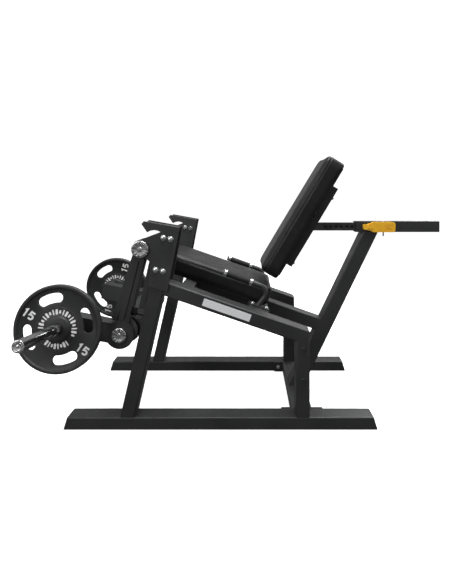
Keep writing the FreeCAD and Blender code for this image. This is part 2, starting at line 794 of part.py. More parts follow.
PLUG_LEN = 16.0
PLUG_RIM = 4.0
plug = box(
    OUTER_X[1] - PLUG_LEN, OUTER_X[1], -bore_half, bore_half,
    SLIDE_Z - bore_half, SLIDE_Z + bore_half,
)
plug_rim = box(
    OUTER_X[1], OUTER_X[1] + PLUG_RIM, -OUTER_HALF, OUTER_HALF, slide_low, slide_high
)
save("slide_end_plug", plug.fuse(plug_rim))

# ---- back rest: pad, board, spine plate and sliding tube ----
lean = math.radians(BACK_LEAN)
up = (math.sin(lean), math.cos(lean))
rear = (math.cos(lean), -math.sin(lean))


def back_point(along, behind):
    """Point at a distance up the pad's front face and a distance behind it."""
    x = BACK_FOOT[0] + up[0] * along + rear[0] * behind
    z = BACK_FOOT[1] + up[1] * along + rear[1] * behind
    return (x, z)


def back_block(a0, a1, b0, b1, half):
    corners = [back_point(a0, b0), back_point(a1, b0), back_point(a1, b1), back_point(a0, b1)]
    return outline(corners, -half, half)


PAD_ROUND = 22.0
back_pad = back_block(0.0, BACK_LEN, 0.0, BACK_T, BACK_HALF)
back_pad = back_pad.makeFillet(PAD_ROUND, back_pad.Edges)
save("back_pad", back_pad)
BOARD_B = (BACK_T, BACK_T + BOARD_T)
BOARD_END = 30.0
BOARD_SIDE = 25.0
back_board = back_block(
    BOARD_END, BACK_LEN - BOARD_END, BOARD_B[0], BOARD_B[1], BACK_HALF - BOARD_SIDE
)
save("back_board", back_board)

SPINE_A = (93.0, 600.0)
SPINE_B = (BOARD_B[1], BOARD_B[1] + SPINE_T)
spine_corners = [
    back_point(SPINE_A[0], SPINE_B[0]),
    back_point(SPINE_A[1], SPINE_B[0]),
    back_point(SPINE_A[1], SPINE_B[1]),
    back_point(SPINE_A[0], SPINE_B[1]),
]
SPINE_HALF = 45.0
back_spine = closed_tube(spine_corners, -SPINE_HALF, SPINE_HALF, 4.0)
save("back_spine", back_spine)

BACK_BOLT_Y = 28.0
BACK_BOLT_R = 10.0
BACK_BOLT_H = 8.0
back_bolts = []
for along in (SPINE_A[0] + 25.0, SPINE_A[1] - 60.0):
    for y in (-BACK_BOLT_Y, BACK_BOLT_Y):
        p = back_point(along, SPINE_B[1])
        q = back_point(along, SPINE_B[1] + BACK_BOLT_H)
        back_bolts.append(rod((p[0], y, p[1]), (q[0], y, q[1]), BACK_BOLT_R))
save("back_bolts", Part.makeCompound(back_bolts))

inner_tube = box(
    200.0, INNER_END_X, -INNER_HALF, INNER_HALF, SLIDE_Z - INNER_HALF, SLIDE_Z + INNER_HALF
)
inner_bore = INNER_HALF - WALL
inner_tube = inner_tube.cut(
    box(
        190.0, INNER_END_X - CAP_T, -inner_bore, inner_bore,
        SLIDE_Z - inner_bore, SLIDE_Z + inner_bore,
    )
)
ahead_of_spine = back_block(-400.0, 1200.0, -600.0, SPINE_B[1], 60.0)
inner_tube = inner_tube.cut(ahead_of_spine)
HOLES_FRONT = 8
HOLES_BACK = 4
for step in range(-HOLES_FRONT, HOLES_BACK + 1):
    centre = (LOCK_X + step * HOLE_PITCH, SLIDE_Z)
    inner_tube = inner_tube.cut(rod_y(centre, LOCK_R + RUN_FIT, -INNER_HALF - 1, 0.0))
save("inner_tube", inner_tube)

# ---- release lever and lock pin ----
LEVER_FACE = (-66.0, -46.0)
NOSE_HALF = 14.0
GRIP_HALF = 28.5
LEVER_ENDS = (642.0, 819.0)
SHOULDER_X = (664.0, 700.0)
lever_corners = {
    (LEVER_ENDS[0], NOSE_HALF): 8.0,
    (SHOULDER_X[0], NOSE_HALF): 16.0,
    (SHOULDER_X[1], GRIP_HALF): 16.0,
    (LEVER_ENDS[1], GRIP_HALF): 14.0,
}
lever_top = [(x, SLIDE_Z + half) for x, half in lever_corners]
lever_bottom = [(x, SLIDE_Z - half) for x, half in reversed(list(lever_corners))]
release = outline(lever_top + lever_bottom, *LEVER_FACE)
for (x, half), radius in lever_corners.items():
    turned = [
        e for e in release.Edges
        if abs(e.Vertexes[0].Y - e.Vertexes[-1].Y) > 1.0
        and abs(e.Vertexes[0].X - x) < 0.1
        and abs(abs(e.Vertexes[0].Z - SLIDE_Z) - half) < 0.1
    ]
    release = release.makeFillet(radius, turned)
GROOVE_X = (765.0, 807.0)
GROOVE_DEPTH = 2.5
GROOVE_HALF = 2.0
GROOVE_PITCH = 11.0
for level in (-GROOVE_PITCH, 0.0, GROOVE_PITCH):
    z = SLIDE_Z + level
    release = release.cut(
        box(
            *GROOVE_X, LEVER_FACE[0] - 1.0, LEVER_FACE[0] + GROOVE_DEPTH,
            z - GROOVE_HALF, z + GROOVE_HALF,
        )
    )
lug_room = box(LUG_X - 14.0, LUG_X + 14.0, LUG_Y - 10.0, -40.0, SLIDE_Z - 10.4, SLIDE_Z + 10.4)
release = release.cut(lug_room)
release = release.cut(
    Part.makeCylinder(
        HINGE_PIN_R + RUN_FIT, 100.0, FreeCAD.Vector(LUG_X, LUG_Y, 880.0), FreeCAD.Vector(0, 0, 1)
    )
)
release = release.cut(rod_y((LOCK_X, SLIDE_Z), LOCK_R + 2.0, *LEVER_FACE))
save("release_lever", release)

LOCK_LIFT = 0.3         # the pin's tip stands this clear of the sliding tube
LOCK_HEAD_GAP = 1.2
LOCK_HEAD_T = 4.0
LOCK_HEAD_R = 11.0
lock_neck_y = LEVER_FACE[0] - LOCK_HEAD_GAP
lock_shaft = rod_y((LOCK_X, SLIDE_Z), LOCK_R, lock_neck_y, -INNER_HALF - LOCK_LIFT)
lock_head = rod_y((LOCK_X, SLIDE_Z), LOCK_HEAD_R, lock_neck_y - LOCK_HEAD_T, lock_neck_y)
save("lock_pin", lock_shaft.fuse(lock_head))

# ---- seat ----
SEAT_BOARD_INSET = 14.0
seat_board = outline(
    beam_block(SEAT_X[0] + SEAT_BOARD_INSET, SEAT_X[1] - SEAT_BOARD_INSET, -SEAT_BOARD_T, 0.0),
    -SEAT_HALF + SEAT_BOARD_INSET, SEAT_HALF - SEAT_BOARD_INSET,
)
save("seat_board", seat_board)
seat_pad = outline(
    beam_block(SEAT_X[0], SEAT_X[1], -SEAT_TOTAL_T, -SEAT_BOARD_T), -SEAT_HALF, SEAT_HALF
)
seat_pad = seat_pad.makeFillet(PAD_ROUND, seat_pad.Edges)
save("seat_pad", seat_pad)

# ---- handle cross bars, foot plates, handles, collars and grips ----
FOOT_X = (8.0, 108.0)
FOOT_T = 8.0
BAR_T = 40.0
bar_outline = beam_block(FOOT_X[0], FOOT_X[1], 0.0, BAR_T)
bar_mid_y = (Y_IN - HALF_TUBE) / 2.0
bar_half = (SIDE_IN - HALF_TUBE) / 2.0
cross_bar = across(bar_outline, bar_half)
cross_bar.translate(FreeCAD.Vector(0, bar_mid_y, 0))
save("handle_bars", Part.makeCompound([cross_bar, mirror(cross_bar)]))

GRIP_SLOPE = 0.356
grip_len = math.hypot(1.0, GRIP_SLOPE)
grip_u = (1.0 / grip_len, -GRIP_SLOPE / grip_len)
GRIP_REF = (24.0, 674.0)


def grip_axis(x):
    return (x, GRIP_REF[1] - GRIP_SLOPE * (x - GRIP_REF[0]))


BEND_R = 40.0
bend_start = grip_axis(67.0)
down = (grip_u[1], -grip_u[0])
bend_centre = (bend_start[0] + down[0] * BEND_R, bend_start[1] + down[1] * BEND_R)
TURN = math.radians(108.0)
start_angle = math.atan2(-down[1], -down[0])
mid_angle = start_angle - TURN / 2.0
end_angle = start_angle - TURN
bend_mid = (
    bend_centre[0] + BEND_R * math.cos(mid_angle),
    bend_centre[1] + BEND_R * math.sin(mid_angle),
)
bend_end = (
    bend_centre[0] + BEND_R * math.cos(end_angle),
    bend_centre[1] + BEND_R * math.sin(end_angle),
)
end_u = (math.sin(end_angle), -math.cos(end_angle))
FOOT_RUN = 60.0  # long enough to pass through the foot plate, which trims it
foot = (bend_end[0] + end_u[0] * FOOT_RUN, bend_end[1] + end_u[1] * FOOT_RUN)
HANDLE_FRONT_X = -126.0
front = grip_axis(HANDLE_FRONT_X)


def at_handle(p):
    return FreeCAD.Vector(p[0], -HANDLE_Y, p[1])


path = Part.Wire([
    Part.makeLine(at_handle(front), at_handle(bend_start)),
    Part.Arc(at_handle(bend_start), at_handle(bend_mid), at_handle(bend_end)).toShape(),
    Part.makeLine(at_handle(bend_end), at_handle(foot)),
])
section = Part.Wire([
    Part.makeCircle(HANDLE_R, at_handle(front), FreeCAD.Vector(grip_u[0], 0, grip_u[1]))
])
handle = path.makePipeShell([section], True, False)
below_foot = outline(beam_block(-300.0, 400.0, -FOOT_T, 200.0), -HANDLE_Y - 60, -HANDLE_Y + 60)
handle = handle.cut(below_foot)
foot_plate = outline(
    beam_block(FOOT_X[0], FOOT_X[1], -FOOT_T, 0.0), -HANDLE_Y - 25.0, -HANDLE_Y + 25.0
)
handle = handle.fuse(foot_plate)
save_pair("grab_handle", handle)


def sleeve_on_grip(x0, x1, radius):
    a = at_handle(grip_axis(x0))
    b = at_handle(grip_axis(x1))
    outer = Part.makeCylinder(radius, (b - a).Length, a, b - a)
    return outer.cut(Part.makeCylinder(HANDLE_R, (b - a).Length, a, b - a))


GRIP_X0 = -104.0
GRIP_X1 = 12.0
COLLAR_LEN = 14.0
save_pair("handle_grip", sleeve_on_grip(GRIP_X0, GRIP_X1, GRIP_R))
collars = [
    sleeve_on_grip(GRIP_X0 - COLLAR_LEN, GRIP_X0, COLLAR_R),
    sleeve_on_grip(GRIP_X1, GRIP_X1 + COLLAR_LEN, COLLAR_R),
]
FOOT_BOLT_INSET = 15.0
FOOT_BOLT_R = 9.0
FOOT_BOLT_H = 7.0
foot_bolts = []
for bolt_x in (FOOT_X[0] + FOOT_BOLT_INSET, FOOT_X[1] - FOOT_BOLT_INSET):
    p = beam_point(bolt_x, -FOOT_T)
    q = beam_point(bolt_x, -FOOT_T - FOOT_BOLT_H)
    foot_bolts.append(rod((p[0], -HANDLE_Y, p[1]), (q[0], -HANDLE_Y, q[1]), FOOT_BOLT_R))
collars_left = Part.makeCompound(collars + foot_bolts)
save("handle_fittings", Part.makeCompound([collars_left, mirror(collars_left)]))
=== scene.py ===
import json
import math

import bmesh
import bpy
import numpy as np
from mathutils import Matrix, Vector
from mathutils.bvhtree import BVHTree

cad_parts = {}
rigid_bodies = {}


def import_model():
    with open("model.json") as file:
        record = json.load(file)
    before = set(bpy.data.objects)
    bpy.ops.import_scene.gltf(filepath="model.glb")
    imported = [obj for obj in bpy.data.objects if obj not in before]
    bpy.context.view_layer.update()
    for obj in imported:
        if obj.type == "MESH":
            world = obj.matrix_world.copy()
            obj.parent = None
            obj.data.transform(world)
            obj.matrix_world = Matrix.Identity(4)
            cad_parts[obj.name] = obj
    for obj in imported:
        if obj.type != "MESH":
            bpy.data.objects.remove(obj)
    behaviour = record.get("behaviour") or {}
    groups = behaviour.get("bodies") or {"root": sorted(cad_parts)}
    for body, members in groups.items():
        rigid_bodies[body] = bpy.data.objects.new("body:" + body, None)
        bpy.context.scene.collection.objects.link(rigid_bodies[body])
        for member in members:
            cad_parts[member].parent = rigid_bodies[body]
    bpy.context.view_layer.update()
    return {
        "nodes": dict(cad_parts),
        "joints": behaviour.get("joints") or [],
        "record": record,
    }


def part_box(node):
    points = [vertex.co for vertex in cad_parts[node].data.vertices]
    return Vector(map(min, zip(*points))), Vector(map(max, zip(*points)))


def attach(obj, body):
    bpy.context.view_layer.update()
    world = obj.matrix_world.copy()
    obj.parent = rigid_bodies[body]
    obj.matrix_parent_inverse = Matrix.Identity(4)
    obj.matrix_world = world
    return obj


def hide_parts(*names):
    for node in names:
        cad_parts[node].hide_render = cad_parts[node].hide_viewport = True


# Plate-loaded leg extension machine, looks only. Metres, +X to the back of the
# machine, -Y the user's left, +Z up. Places come from the CAD frame.

for old in list(bpy.data.objects):
    bpy.data.objects.remove(old)

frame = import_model()
NODES = frame["nodes"]
RECORD = frame["record"]
JOINTS = {j["name"]: j for j in frame["joints"]}
MOUNTS = {m["name"]: m for m in RECORD["mounts"]}

X_AXIS = Vector((1, 0, 0))
Y_AXIS = Vector((0, 1, 0))
Z_AXIS = Vector((0, 0, 1))

# ---- places worked out from the frame ----
PIVOT = Vector(JOINTS["lever_swing"]["pos_m"])
ROLLER = Vector(JOINTS["roller_spin"]["pos_m"])
SIDES = {"left": -1.0, "right": 1.0}

# Slopes of the seat and of the back pad, as in the CAD design.
SEAT_SLOPE = math.atan(0.3466)
BACK_LEAN = math.radians(31.0)
GRIP_SLOPE = math.atan(0.356)


# ---- materials ----
class Shader:
    """A node material around one Principled shader, with short helpers."""

    def __init__(self, name, **values):
        self.material = bpy.data.materials.new(name)
        self.material.use_nodes = True
        self.tree = self.material.node_tree
        self.shader = self.tree.nodes["Principled BSDF"]
        self.fill(self.shader, values)
        self.place = self.node("TexCoord").outputs["Object"]

    def fill(self, node, values):
        for key, value in values.items():
            node.inputs[key.replace("_", " ")].default_value = value

    def node(self, kind, **values):
        made = self.tree.nodes.new("ShaderNode" + kind)
        self.fill(made, values)
        return made

    def link(self, output, socket):
        self.tree.links.new(output, socket)

    def stretched(self, scale):
        """Object coordinates scaled by a different amount on each axis."""
        mapping = self.node("Mapping", Scale=scale)
        self.link(self.place, mapping.inputs["Vector"])
        return mapping.outputs["Vector"]

    def noise(self, scale, detail=3.0, rough=0.5, where=None):
        node = self.node("TexNoise", Scale=scale, Detail=detail, Roughness=rough)
        self.link(where or self.place, node.inputs["Vector"])
        return node.outputs["Fac"]

    def cells(self, scale, feature="DISTANCE_TO_EDGE"):
        node = self.node("TexVoronoi", Scale=scale)
        node.feature = feature
        self.link(self.place, node.inputs["Vector"])
        return node.outputs["Distance"]

    def span(self, value, low, high, to_low, to_high):
        """The stretch of a value from low to high, laid onto another range."""
        node = self.node("MapRange", From_Min=low, From_Max=high, To_Min=to_low, To_Max=to_high)
        self.link(value, node.inputs["Value"])
        return node.outputs["Result"]

    def mix(self, factor, first, second):
        """Colour between two colours; each is a tuple or another colour output."""
        node = self.node("Mix")
        node.data_type = "RGBA"
        self.link(factor, node.inputs["Factor"])
        for value, letter in ((first, "A"), (second, "B")):
            socket = [s for s in node.inputs if s.name == letter and s.type == "RGBA"][0]
            if isinstance(value, tuple):
                socket.default_value = (*value, 1.0)
            else:
                self.link(value, socket)
        return [s for s in node.outputs if s.type == "RGBA"][0]

    def blend(self, value, first, second, low=0.3, high=0.7):
        """Colour that runs from the first to the second as a value rises."""
        return self.mix(self.span(value, low, high, 0.0, 1.0), first, second)

    def tint(self, *blended):
        self.link(self.blend(*blended), self.shader.inputs["Base Color"])

    def gloss(self, value, rough, low=0.3, high=0.7):
        """Roughness that runs over a range as a value rises."""
        self.link(self.span(value, low, high, *rough), self.shader.inputs["Roughness"])

    def combine(self, first, second, operation="ADD", weight=1.0):
        scaled, node = self.node("Math"), self.node("Math")
        scaled.operation, node.operation = "MULTIPLY", operation
        scaled.inputs[1].default_value = weight
        self.link(second, scaled.inputs[0])
        self.link(first, node.inputs[0])
        self.link(scaled.outputs[0], node.inputs[1])
        return node.outputs[0]

    def edges(self, radius):
        """1 on the object's sharp convex and concave edges, 0 on flat stretches."""
        bevel = self.node("Bevel", Radius=radius)
        bevel.samples = 4
        dot = self.node("VectorMath")
        dot.operation = "DOT_PRODUCT"
        self.link(bevel.outputs["Normal"], dot.inputs[0])
        self.link(self.node("NewGeometry").outputs["Normal"], dot.inputs[1])
        return self.span(dot.outputs["Value"], 0.98, 0.75, 0.0, 1.0)

    def rubbed(self, tone, wear, radius, spots, low, to_low, to_high=1.0):
        """A tone whose edges are rubbed to a paler colour, here more and there less."""
        patches = self.span(spots, low, 0.7, to_low, to_high)
        rub = self.combine(self.edges(radius), patches, "MULTIPLY")
        self.link(self.mix(rub, tone, wear), self.shader.inputs["Base Color"])

    def bump(self, height, distance, strength):
        node = self.node("Bump", Distance=distance, Strength=strength)
        self.link(height, node.inputs["Height"])
        self.link(node.outputs["Normal"], self.shader.inputs["Normal"])


def powder_coat():
    """Satin powder coat: faint orange peel, soft dirt variation, paler rubbed edges."""
    m = Shader("black_powder_coat", Metallic=0.0, Specular_IOR_Level=0.5)
    tone = m.blend(m.noise(5.0, 4.0), (0.021, 0.0215, 0.022), (0.030, 0.0305, 0.031), 0.35, 0.65)
    m.rubbed(tone, (0.075, 0.077, 0.079), 0.0025, m.noise(60.0, 4.0), 0.35, 0.2)
    m.gloss(m.noise(18.0, 5.0), (0.40, 0.52))
    m.bump(m.combine(m.noise(900.0, 2.0), m.noise(220.0, 3.0), "ADD", 0.6), 0.00012, 0.55)
    return m.material


def leatherette():
    """Black upholstery vinyl with a pebbled grain."""
    m = Shader("leatherette", Specular_IOR_Level=0.28, Sheen_Weight=0.02, Sheen_Roughness=0.5)
    m.tint(m.noise(7.0, 4.0), (0.006, 0.006, 0.0065), (0.012, 0.012, 0.0125))
    m.gloss(m.noise(26.0, 4.0), (0.38, 0.52))
    pebbles = m.span(m.cells(520.0), 0.0, 0.22, 0.0, 1.0)
    m.bump(m.combine(pebbles, m.noise(140.0, 5.0, 0.6), "ADD", 0.7), 0.00022, 0.5)
    return m.material


def foam_skin():
    """Dense black foam rubber with a fine closed-cell skin."""
    m = Shader("foam_skin", Specular_IOR_Level=0.3)
    m.tint(m.noise(40.0, 4.0), (0.013, 0.013, 0.014), (0.024, 0.024, 0.025))
    m.gloss(m.noise(90.0, 3.0), (0.62, 0.8))
    m.bump(m.combine(m.cells(700.0, "F1"), m.noise(60.0, 4.0), "ADD", 0.8), 0.0004, 0.5)
    return m.material


def moulded(name, specular, clouds, low, high, spots, rough, grain, depth, strength):
    """Rubber or plastic: soft clouds of tone, uneven gloss and a fine grain."""
    m = Shader(name, Specular_IOR_Level=specular)
    m.tint(m.noise(clouds, 4.0), low, high)
    m.gloss(m.noise(spots, 3.0), rough)
    m.bump(m.noise(*grain), depth, strength)
    return m.material


def bright_metal(name, low, high, rough, turned, turned_depth, marks):
    """Plated or bare steel; turned gives the scale of its machining marks on each axis."""
    m = Shader(name, Metallic=1.0)
    m.tint(m.noise(22.0, 4.0), low, high)
    fine = m.noise(1.0, 4.0, 0.6, m.stretched(turned)) if turned else m.noise(260.0, 4.0)
    scuffs = m.span(m.noise(34.0, 6.0, 0.7), 0.52, 0.72, 0.0, marks)
    m.link(m.combine(m.span(fine, 0.3, 0.7, *rough), scuffs), m.shader.inputs["Roughness"])
    m.bump(fine, turned_depth, 0.6)
    return m.material


def turned_chrome_painted_streaks(name, centre):
    """Chrome over a turned face: its radial grain fans highlights out from its middle, and painted
    reflection streaks in its colour fan out from the middle too.
    """
    m = Shader(name, Metallic=1.0, Anisotropic=0.6)
    tangent = m.node("Tangent")
    tangent.direction_type = "RADIAL"
    tangent.axis = "Y"
    m.link(tangent.outputs["Tangent"], m.shader.inputs["Tangent"])
    spoke = m.place
    for operation, amount in (("SUBTRACT", centre), ("MULTIPLY", (1, 0, 1)), ("NORMALIZE", None)):
        step = m.node("VectorMath")
        step.operation = operation
        m.link(spoke, step.inputs[0])
        if amount is not None:
            step.inputs[1].default_value = amount
        spoke = step.outputs["Vector"]
    # painted reflection: the colour runs from dark to bright in streaks round the middle, standing in
    # for the reflections a chrome face shows
    m.tint(m.noise(4.5, 3.0, 0.6, spoke), (0.28, 0.28, 0.285), (0.95, 0.95, 0.95), 0.42, 0.58)
    m.gloss(m.noise(70.0, 5.0, 0.7), (0.10, 0.26), 0.35, 0.65)
    m.bump(m.noise(9.0, 2.0, 0.5, spoke), 0.0004, 0.4)
    return m.material


def plate_iron():
    """Enamelled cast iron: soft casting texture and rubbed rim."""
    m = Shader("plate_enamel", Specular_IOR_Level=0.5)
    tone = m.blend(m.noise(9.0, 5.0), (0.014, 0.0145, 0.015), (0.025, 0.0255, 0.026))
    m.rubbed(tone, (0.075, 0.075, 0.078), 0.004, m.noise(48.0, 5.0), 0.4, 0.1)
    m.gloss(m.noise(16.0, 5.0), (0.40, 0.56))
    m.bump(m.combine(m.noise(420.0, 3.0), m.noise(70.0, 5.0, 0.6)), 0.0004, 0.5)
    return m.material


def enamel_mark():
    """White paint on raised marks, slightly chipped."""
    m = Shader("white_enamel", Specular_IOR_Level=0.45)
    m.tint(m.noise(160.0, 5.0, 0.7), (0.86, 0.86, 0.85), (0.55, 0.55, 0.54), 0.60, 0.68)
    m.gloss(m.noise(60.0), (0.42, 0.58))
    m.bump(m.noise(500.0), 0.0001, 0.5)
    return m.material


def yellow_paint():
    m = Shader("yellow_lever_paint", Specular_IOR_Level=0.5, Coat_Weight=0.15, Coat_Roughness=0.2)
    tone = m.blend(m.noise(20.0, 4.0), (0.90, 0.45, 0.014), (0.98, 0.56, 0.026))
    m.rubbed(tone, (0.98, 0.70, 0.18), 0.002, m.noise(90.0, 4.0), 0.4, 0.0, 0.8)
    m.gloss(m.noise(50.0), (0.30, 0.42))
    m.bump(m.noise(700.0), 0.0001, 0.5)
    return m.material


def drawn_out(name, scale, noise, low, high, rough, depth, strength, spread=(0.3, 0.7), **values):
    """Lines along one direction: wood grain, brushed metal or twisted thread."""
    m = Shader(name, **values)
    lines = m.noise(1.0, *noise, m.stretched(scale))
    m.tint(lines, low, high, *spread)
    m.gloss(lines, rough)
    m.bump(lines, depth, strength)
    return m.material


PAINT = powder_coat()
VINYL = leatherette()
FOAM = foam_skin()
RUBBER = moulded("black_rubber", 0.35, 30.0, (0.010, 0.010, 0.011), (0.020, 0.020, 0.021),
                 70.0, (0.58, 0.75), (600.0, 3.0), 0.00015, 0.6)
PLASTIC = moulded("black_plastic", 0.45, 12.0, (0.012, 0.012, 0.013), (0.022, 0.022, 0.023),
                  45.0, (0.38, 0.55), (1500.0, 2.0), 0.00008, 0.7)
CHROME = bright_metal("chrome_plate", (0.74, 0.75, 0.76), (0.86, 0.87, 0.88), (0.05, 0.12),
                      None, 0.00001, 0.08)
ZINC = bright_metal("zinc_bolts", (0.62, 0.63, 0.64), (0.78, 0.78, 0.78), (0.20, 0.32),
                    None, 0.00003, 0.12)
TURNED = bright_metal("turned_steel", (0.52, 0.52, 0.52), (0.66, 0.66, 0.65), (0.14, 0.26),
                      (30.0, 1400.0, 30.0), 0.00002, 0.15)
POLISHED = bright_metal("polished_steel", (0.34, 0.34, 0.345), (0.46, 0.46, 0.465), (0.14, 0.22),
                        (6.0, 2.0, 6.0), 0.000005, 0.10)
DRAWN = bright_metal("drawn_steel", (0.05, 0.051, 0.053), (0.10, 0.10, 0.102), (0.28, 0.4),
                     (25.0, 900.0, 900.0), 0.00002, 0.1)
PIVOT_CHROME = turned_chrome_painted_streaks("pivot_chrome", PIVOT)
AXLE_CHROME = turned_chrome_painted_streaks("axle_chrome", ROLLER)
HORN_CHROME = turned_chrome_painted_streaks("horn_chrome", MOUNTS["horn_left"]["pos_m"])
IRON = plate_iron()
WHITE = enamel_mark()
BOARD = drawn_out("stained_board", (18.0, 260.0, 18.0), (5.0, 0.6), (0.014, 0.013, 0.012),
                  (0.03, 0.027, 0.024), (0.6, 0.78), 0.0002, 0.7, (0.35, 0.65),
                  Specular_IOR_Level=0.3)
YELLOW = yellow_paint()
NAME_PLATE = drawn_out("pale_plate", (40.0, 40.0, 900.0), (4.0, 0.6), (0.82, 0.83, 0.84),
                       (0.92, 0.93, 0.94), (0.32, 0.44), 0.00004, 0.5, Specular_IOR_Level=0.5)
THREAD = drawn_out("black_thread", (2200.0, 2200.0, 900.0), (3.0, 0.5), (0.02, 0.02, 0.021),
                   (0.05, 0.05, 0.052), (0.6, 0.8), 0.0002, 0.6, Specular_IOR_Level=0.3,
                   Sheen_Weight=0.2)


# ---- mesh helpers ----
def link_object(name, data):
    obj = bpy.data.objects.new(name, data)
    bpy.context.scene.collection.objects.link(obj)
    return obj


def only_material(mesh, material):
    mesh.materials.clear()
    mesh.materials.append(material)


def add_object(name, bm, material, body):
    obj = link_object(name, mesh_from(name, bm))
    only_material(obj.data, material)
    shade_by_angle(obj.data)
    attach(obj, body)
    return obj


def shade_by_angle(mesh, degrees=32.0):
    mesh.polygons.foreach_set("use_smooth", [True] * len(mesh.polygons))
    mesh.set_sharp_from_angle(angle=math.radians(degrees))


def mesh_from(name, bm):
    bmesh.ops.recalc_face_normals(bm, faces=bm.faces)
    mesh = bpy.data.meshes.new(name)
    bm.to_mesh(mesh)
    bm.free()
    return mesh


def basis(axis):
    """Two directions square to an axis."""
    axis = axis.normalized()
    helper = X_AXIS if abs(axis.dot(X_AXIS)) < 0.9 else Z_AXIS
    first = axis.cross(helper).normalized()
    return first, axis.cross(first)


def round_radius(angle, radius):
    return radius


def hex_radius(angle, across):
    """Distance from the centre to a hexagon's side, for its width across flats."""
    sector = math.pi / 3.0
    local = (angle % sector) - sector / 2.0
    return across / 2.0 / math.cos(local)


def strip(bm, low, high, shift=0):
    """Faces between two rings of vertices; a ring of one vertex is a point."""
    count = max(len(low), len(high))
    for i in range(count):
        j = (i + 1) % count
        if len(low) == 1:
            bm.faces.new((low[0], high[i], high[j]))
        elif len(high) == 1:
            bm.faces.new((low[i], low[j], high[0]))
        else:
            bm.faces.new((low[i], low[j], high[(j + shift) % count], high[(i + shift) % count]))


def add_rings(bm, origin, axis, rings, segments=48):
    """Surface through rings given as (radius rule, size, height along the axis)."""
    u, v = basis(axis)
    made = []
    for rule, size, height in rings:
        centre = origin + axis * height
        if size < 1e-6:
            made.append([bm.verts.new(centre)])
            continue
        ring = []
        for i in range(segments):
            angle = 2.0 * math.pi * i / segments
            r = rule(angle, size)
            ring.append(bm.verts.new(centre + (u * math.cos(angle) + v * math.sin(angle)) * r))
        made.append(ring)
    for low, high in zip(made, made[1:]):
        strip(bm, low, high)


def lathe(bm, origin, axis, profile, segments=64):
    """Turned shape from (radius, height) points."""
    add_rings(bm, origin, axis, [(round_radius, r, h) for r, h in profile], segments)


def arc(centre, radius, start, stop, steps):
    """Points of an arc in a (radius, height) profile."""
    points = []
    for i in range(steps + 1):
        a = math.radians(start + (stop - start) * i / steps)
        points.append((centre[0] + radius * math.cos(a), centre[1] + radius * math.sin(a)))
    return points


def islands(node):
    """The points of each of a CAD node's separate solids."""
    bm = bmesh.new()
    bm.from_mesh(NODES[node].data)
    bmesh.ops.remove_doubles(bm, verts=bm.verts, dist=1e-5)
    seen = set()
    groups = []
    for start in bm.verts:
        if start in seen:
            continue
        stack = [start]
        group = []
        seen.add(start)
        while stack:
            vert = stack.pop()
            group.append(vert.co.copy())
            for edge in vert.link_edges:
                other = edge.other_vert(vert)
                if other not in seen:
                    seen.add(other)
                    stack.append(other)
        groups.append(group)
    bm.free()
    return groups


def extent(points, axis):
    """Lowest and highest reach of points along an axis."""
    reach = [p.dot(axis) for p in points]
    return min(reach), max(reach)


def half_width(points, axis):
    low, high = extent(points, axis)
    return (high - low) / 2.0


def middle(points, axis):
    """Centre of points square to an axis, at zero along it."""
    u, v = basis(axis)
    a = sum(extent(points, u)) / 2.0
    b = sum(extent(points, v)) / 2.0
    return u * a + v * b


def tube_along(bm, points, radius, closed=False, sides=10):
    """Round tube along points, with its section kept square to the path."""
    count = len(points)
    rings = []
    normal = None
    for i, point in enumerate(points):
        before = points[i - 1] if closed or i > 0 else points[i]
        after = points[(i + 1) % count] if closed or i < count - 1 else points[i]
        direction = (after - before).normalized()
        if normal is None:
            normal = basis(direction)[0]
        normal = (normal - direction * normal.dot(direction)).normalized()
        side = direction.cross(normal)
        ring = []
        for k in range(sides):
            a = 2.0 * math.pi * k / sides
            ring.append(bm.verts.new(point + (normal * math.cos(a) + side * math.sin(a)) * radius))
        rings.append(ring)
    pairs = list(zip(rings, rings[1:]))
    if closed:
        pairs.append((rings[-1], rings[0]))
    for low, high in pairs:
        shift = 0
        if closed and high is rings[0]:
            gaps = [(low[0].co - high[k].co).length for k in range(sides)]
            shift = gaps.index(min(gaps))
        strip(bm, low, high, shift)
    if not closed:
        bm.faces.new(rings[0])
        bm.faces.new(rings[-1])


# ---- cAD nodes that stay: materials and softened edges ----
KEPT = [
    (PAINT, 0.0012, [
        "base_rail_left", "base_rail_right", "front_post_left", "front_post_right",
        "top_beam_left", "top_beam_right", "rear_leg_left", "rear_leg_right",
        "hook_plate_outer_left", "hook_plate_outer_right", "hook_plate_inner_left",
        "hook_plate_inner_right", "lever_arm_left", "lever_arm_right", "lever_braces",
        "weight_arm_left", "weight_arm_right", "rear_cross_tube", "front_cross_tube",
        "middle_beam", "back_post", "slide_tube", "handle_bars", "back_spine",
        "grab_handle_left", "grab_handle_right", "post_guards",
    ]),
    (TURNED, 0.0015, ["roller_axle"]),
    (POLISHED, 0.0015, ["plate_horn_left", "plate_horn_right"]),
    (DRAWN, 0.0010, ["inner_tube"]),
    (PLASTIC, 0.0012, [
        "hook_wear_block_left", "hook_wear_block_right", "slide_bushing", "slide_end_plug",
        "roller_sleeve",
    ]),
    (BOARD, 0.0020, ["seat_board", "back_board"]),
    (ZINC, 0.0008, ["release_hinge_pin"]),
    (YELLOW, 0.001, ["lock_pin"]),
    (YELLOW, 0.0022, ["release_lever"]),
    (NAME_PLATE, 0.0004, ["name_plates"]),
]


def round_edges(obj, width, segments, degrees):
    """Bevel on the edges that turn by more than an angle."""
    bevel = obj.modifiers.new("soft_edges", "BEVEL")
    bevel.width = width
    bevel.segments = segments
    bevel.limit_method = "ANGLE"
    bevel.angle_limit = math.radians(degrees)


for material, width, names in KEPT:
    for node in names:
        only_material(NODES[node].data, material)
        weld = NODES[node].modifiers.new("weld", "WELD")
        weld.merge_threshold = 0.00002
        round_edges(NODES[node], width, 2, 38.0)


